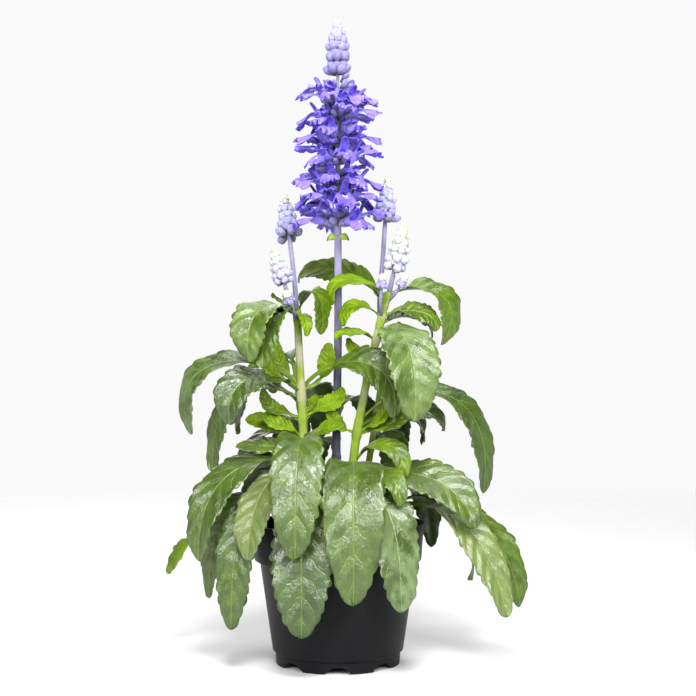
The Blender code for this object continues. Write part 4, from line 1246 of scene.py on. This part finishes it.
# %% Copy flowers and buds
def outward_frame(place, axis, azimuth, tilt):
    """A frame at a point of the axis: +Z points out and up by the tilt, +Y lies above it."""
    turn = Matrix.Rotation(azimuth, 3, axis)
    seed = Vector((1, 0, 0)) if abs(axis.x) < 0.9 else Vector((0, 1, 0))
    radial = turn @ (seed - axis * seed.dot(axis)).normalized()
    ahead = (radial * math.cos(tilt) + axis * math.sin(tilt)).normalized()
    above = (axis * math.cos(tilt) - radial * math.sin(tilt)).normalized()
    frame = Matrix((above.cross(ahead), above, ahead)).transposed().to_4x4()
    frame.translation = place
    return frame


def put(points, frame):
    """The points of a copy, moved into its frame."""
    matrix = np.array(frame)
    return points @ matrix[:3, :3].T + matrix[:3, 3]


# Places along a flower, up from its foot: where its lips leave the tube, and where they bend
MOUTH, BEND = 14, 14.5
HALF_OPEN = 7


def open_petals(rng, reach, hang):
    """The petals of one flower, opened and bent a little in their own way; it may hang by an angle."""
    x, y, z = (petal_points * reach / FLOWER_REACH).T
    lip = np.clip((z - MOUTH) / 12, 0, 1) * (y < 0.6)
    hood = np.clip((z - MOUTH) / 5, 0, 1) * (y > 0.6)
    droop, twist, curl = rng.uniform(-0.15, hang), rng.uniform(-0.45, 0.45), rng.uniform(-1.2, 1.4)
    y = y + curl * hood**2 + rng.uniform(0.7, 1.7) * lip * np.sin(x * 1.4 + rng.uniform(0, 6))
    fall, out = droop * np.clip((z - BEND) / 7, 0, 1) * (y < 0.9), np.maximum(z - BEND, 0)
    y, z = y - out * np.sin(fall), np.minimum(z, BEND) + out * np.cos(fall)
    turn = twist * lip
    x, y = x * np.cos(turn) - y * np.sin(turn), x * np.sin(turn) + y * np.cos(turn)
    return np.stack([x, y, z], axis=1)


def put_bud(width, length, inner, frame, ripe):
    """A bud of this size with its foot at an inner distance, and what its marks say."""
    points = bud_points * [width, width, length - inner] + [0, 0, inner]
    return put(points, frame), ripe, bud_points[:, 2]


def half_open(height, stand, rng, size=1.0):
    """Long violet calyces that stand between the flowers of a whorl."""
    copies = []
    for i in range(HALF_OPEN):
        rise = height + rng.uniform(-4.5, 4.5) * size
        azimuth = math.tau * (i + rng.uniform(-0.3, 0.3)) / HALF_OPEN
        frame = stand(rise, azimuth, rng.uniform(5, 35))
        length, width = rng.uniform(11, 15.5) * size, rng.uniform(3.6, 5) * size
        copies.append(put_bud(width, length, 3, frame, rng.uniform(0.75, 1)))
    return copies


def whorl_buds(row, ripe, top, stand, rng, start):
    """The buds of one whorl in two tiers: as many as it has lobes, and as many again between and above."""
    height, count, radius, depth = row
    copies = []
    for tier in range(2):
        for i in range(count):
            azimuth = start + math.tau * (i + 0.5 * tier) / count + rng.uniform(-0.1, 0.1)
            rise = height - 0.34 * depth + tier * 0.42 * depth + rng.uniform(-0.3, 0.3)
            length = radius * (1.08 - 0.3 * tier) * rng.uniform(0.92, 1.05)
            width = min(0.78 * depth, 1.15 * radius, 6) * rng.uniform(0.88, 1.05)
            frame = stand(rise, azimuth, rng.uniform(14, 30) + 26 * top**3)
            copies.append(put_bud(width, length, 0.22 * length, frame, ripe))
    return copies


# %% Grow the heads
SMALL_FLOWERS, SMALL_CUP = 6, 0.8
# A ring of half open calyces under the cone of buds, smaller than those among the flowers
UPPER_RING_DROP, UPPER_RING_SIZE = 9, 0.72
# The tuft of tiny buds at the tip
TUFT, TUFT_DROP, TUFT_TILT = 4, 2.6, 62
# How far the flowers hang, and those of the lowest whorl
HANG, LOW_HANG = 0.62, 0.4
# How violet the lowest buds of a closed head are
VIOLET = {"spike_right_low": 0.22, "spike_left_low": 0.35}
PLAIN_VIOLET = 0.75


def grow_head(name, plan):
    """The petals, cups and buds of one head, as lists of copies."""
    line = lines[plan.stem][plan.branch]
    axis = (line[-1] - line[-2]).normalized()
    foot = line[-1] + axis * GAP
    rng, whim = random.Random(name), random.Random(name + "_whim")
    petals, cups, buds = [], [], []

    def stand(height, azimuth, tilt):
        """The frame of a flower or bud at a height, with its azimuth and its tilt in degrees."""
        return outward_frame(foot + axis * height, axis, azimuth, math.radians(tilt))

    for k, (height, count, reach) in enumerate(plan.flowers):
        hang = HANG if k else LOW_HANG
        for i in range(count):
            azimuth = math.tau * (i + 0.5 * (k % 2) + rng.uniform(-0.08, 0.08)) / count
            rise = height + 3 * (i % 2) - 1.5 + rng.uniform(-1, 1)
            frame = stand(rise, azimuth, rng.uniform(4, 24))
            petals.append(put(open_petals(whim, reach + rng.uniform(-4, 1.5), hang), frame))
            cups.append(put(calyx_points, frame))
        for i in range(SMALL_FLOWERS):
            rise = height + whim.uniform(-3.5, 4)
            azimuth = math.tau * (i + whim.uniform(-0.4, 0.4)) / SMALL_FLOWERS
            frame = stand(rise, azimuth, whim.uniform(0, 40))
            petals.append(put(open_petals(whim, reach * whim.uniform(0.62, 0.82), hang), frame))
            cups.append(put(calyx_points * SMALL_CUP, frame))
        buds += half_open(height, stand, whim)
    if plan.flowers:
        buds += half_open(plan.buds[0][0] - UPPER_RING_DROP, stand, whim, UPPER_RING_SIZE)
    for k, row in enumerate(plan.buds):
        start = math.pi * (k % 2 + rng.uniform(-0.2, 0.2)) / row[1]
        ripe = 1 - k / (len(plan.buds) - 1)
        ripe = math.sqrt(ripe) if plan.flowers else VIOLET.get(name, PLAIN_VIOLET) * ripe
        buds += whorl_buds(row, ripe, row[0] / plan.height, stand, whim, start)
    for i in range(TUFT):
        frame = stand(plan.height - TUFT_DROP, math.tau * i / TUFT, TUFT_TILT)
        buds.append(put_bud(2, 4, 0, frame, 0.0))
    return {"petals": petals, "cups": cups, "buds": buds, "foot": foot, "axis": axis}


heads = {name: grow_head(name, plan) for name, plan in HEADS.items()}
print("flowers:", len(heads["spike_main"]["petals"]), "buds:", sum(len(h["buds"]) for h in heads.values()))

# %% Join the copies
PETAL_THICK = 0.3
RACHIS_STEP = 3


def join(name, copies, faces, marks):
    """One piece from copies of one shape. A mark is the same for each copy, or a list with one for each."""
    whole = {key: mark if isinstance(mark, list) else [mark] * len(copies) for key, mark in marks.items()}
    return gather(name, [(points, faces) for points in copies], whole)


def build_buds(name, grown):
    places, ripeness, along = zip(*grown["buds"])
    ripeness = [np.full(len(bud_points), ripe) for ripe in ripeness]
    return join(name + "_buds", places, bud_faces, {"ripeness": ripeness, "bud_along": list(along)})


def build_rachis(name, plan, grown):
    """The stem inside a head."""
    points = [grown["foot"] + grown["axis"] * plan.height * share for share in (0, 0.5, 0.985)]
    copy = draw_stem(even_line(points, RACHIS_STEP), plan.radius, 0.6)
    return gather(name + "_rachis", [copy], {"flush": [np.ones(len(copy[0]))]})


tall = heads["spike_main"]
petals = join("spike_main_petals", tall["petals"], petal_faces, {"flower": petal_points})
modify(petals, "SOLIDIFY", thickness=PETAL_THICK * MM, offset=0)
calyx_marks = {"bud_along": calyx_points[:, 2] / 10, "ripeness": np.ones(len(calyx_points))}
cups = join("spike_main_cups", tall["cups"], calyx_faces, calyx_marks)
bud_pieces = {name: build_buds(name, grown) for name, grown in heads.items()}
rachis_pieces = {name: build_rachis(name, plan, heads[name]) for name, plan in HEADS.items()}
bpy.data.objects.remove(section)
print("faces of the petals:", len(petals.data.polygons))

# %% [markdown]
# The petals keep the place of each point in the flower as a mark, and their finish is painted from
# it: indigo on the hood, violet on the lip, paler in the throat, and two white marks. Down on the
# petals softens their edges, so they have a little sheen.

# %% Finish the petals
velvet = Finish("petal")
x, y, z = velvet.mark("flower", "Vector").parts()
far = x.math("ABSOLUTE")
hood = y.band(0.6, 2.2) * z.band(12.5, 16.5)
throat = z.band(19, 12)
streaks = (far * 4.4).math("SINE") * 0.06
cloud = velvet.noise(380, 3, 0.6) + streaks + velvet.noise(95, 1) * 0.6
colour = velvet.mix(cloud.band(0.45, 1.05), (0.062, 0.022, 0.43), (0.22, 0.155, 0.8))
colour = velvet.mix(far.band(4.6, 7.2) * 0.5, colour, (0.09, 0.04, 0.46))
colour = velvet.mix(throat * 0.5, colour, (0.3, 0.25, 0.78))
colour = velvet.mix(hood * 0.85, colour, (0.07, 0.03, 0.38))
bar = far.band(0.25, 0.5) * far.band(1.8, 1.3) * z.band(14.4, 15.2) * z.band(20, 18.2) * y.band(0.2, -0.8)
colour = velvet.mix(bar, colour, (0.88, 0.86, 0.97))
velvet.relief((far * 9).math("SINE") * 0.3 + cloud, 0.15 * MM)
velvet.surface(Base_Color=colour, Roughness=0.55, Sheen_Weight=0.15)
present(petals, "spike_main_petals", "flower", "spike_main", velvet)

# %% [markdown]
# Buds and cups are covered in white meal, fine hairs so short that they look like flour. It lies in
# small patches, with lavender between them. A bud is painted dark at its foot, as painted shade where
# the buds crowd on the stem, and, in a ripe whorl, violet at its tip. The youngest buds, at the end of
# a head, are cream.

# %% Finish the buds
meal = Finish("mealy_bud")
ripe = meal.mark("ripeness")
along = meal.mark("bud_along")
flour = meal.noise(1700, 3, 0.7).band(0.4, 0.62)
body = meal.mix(ripe.band(0, 0.3), (0.48, 0.51, 0.33), (0.38, 0.38, 0.57))
body = meal.mix(ripe.band(0.4, 1), body, (0.16, 0.135, 0.41))
# Painted shade: each bud and cup is near-black at its foot, where the buds crowd on the stem
body = meal.mix(along.band(0, 0.65), (0.05, 0.05, 0.12), body)
tipped = along.band(0.6, 0.95) * meal.noise(260, 2).band(0.35, 0.6)
body = meal.mix(tipped * (ripe * 0.8), body, (0.14, 0.08, 0.52))
colour = meal.mix(flour * 0.34, body, (0.64, 0.65, 0.74))
meal.relief(flour + meal.noise(620, 3, 0.6) * 2.6, 0.2 * MM)
meal.surface(Base_Color=colour, Roughness=0.6, Sheen_Weight=0.15)
present(cups, "spike_main_cups", "flower", "spike_main", meal)
for name in HEADS:
    slot = "flower" if name == "spike_main" else "bud"
    present(bud_pieces[name], name + "_buds", slot, name, meal)
    present(rachis_pieces[name], name + "_rachis", slot, name, rind)

# %% [markdown]
# ## Two ripe calyces
#
# Just under the tall spike, two calyces have shed their flowers and turned green, with dark beaks.

# %% Add the ripe calyces
# The height and azimuth of each, and how far up it points
RIPE = [(262.5, -160), (262.7, -22)]
RIPE_TILT = math.radians(2)
hooked = bud_points * [5, 5, 7.5]
hooked[:, 1] -= 0.5 * np.clip(hooked[:, 2] - 5, 0, None) ** 2
copies = [put(hooked, outward_frame(UP * z, UP, math.radians(turn), RIPE_TILT)) for z, turn in RIPE]
ripe_calyces = join("ripe_calyces", copies, bud_faces, {"beak": bud_points[:, 2]})
modify(ripe_calyces, "SUBSURF", levels=2, render_levels=2)
husk = Finish("ripe_calyx")
speck = husk.noise(900, 3, 0.6)
green = husk.mix(speck, (0.17, 0.27, 0.03), (0.36, 0.47, 0.08))
husk.relief(speck, 0.12 * MM)
colour = husk.mix(husk.mark("beak").band(0.82, 0.97), green, (0.05, 0.06, 0.02))
husk.surface(Base_Color=colour, Roughness=0.6)
present(ripe_calyces, "ripe_calyces", "leaf", "stem_main", husk)

# %% [markdown]
# ## The floor
#
# A pale floor with nothing on it belongs to the studio and not to the part. Far from the plant it
# fades into the white sky, so that there is no horizon.

# %% Lay the floor
FLOOR_FADE, FLOOR_END = 0.45, 1.3
start_fresh()
bpy.ops.mesh.primitive_circle_add(vertices=64, radius=FLOOR_END, fill_type="NGON")
floor = bpy.context.object
floor.name = "studio_floor"
paper = Finish("floor_paper")
away = paper.node("ShaderNodeVectorMath", {0: paper.where}, "Value", operation="LENGTH")
paper.surface(Base_Color=(0.6, 0.6, 0.6), Roughness=0.8, Alpha=away.band(FLOOR_END, FLOOR_FADE))
floor.data.materials.append(paper.material)
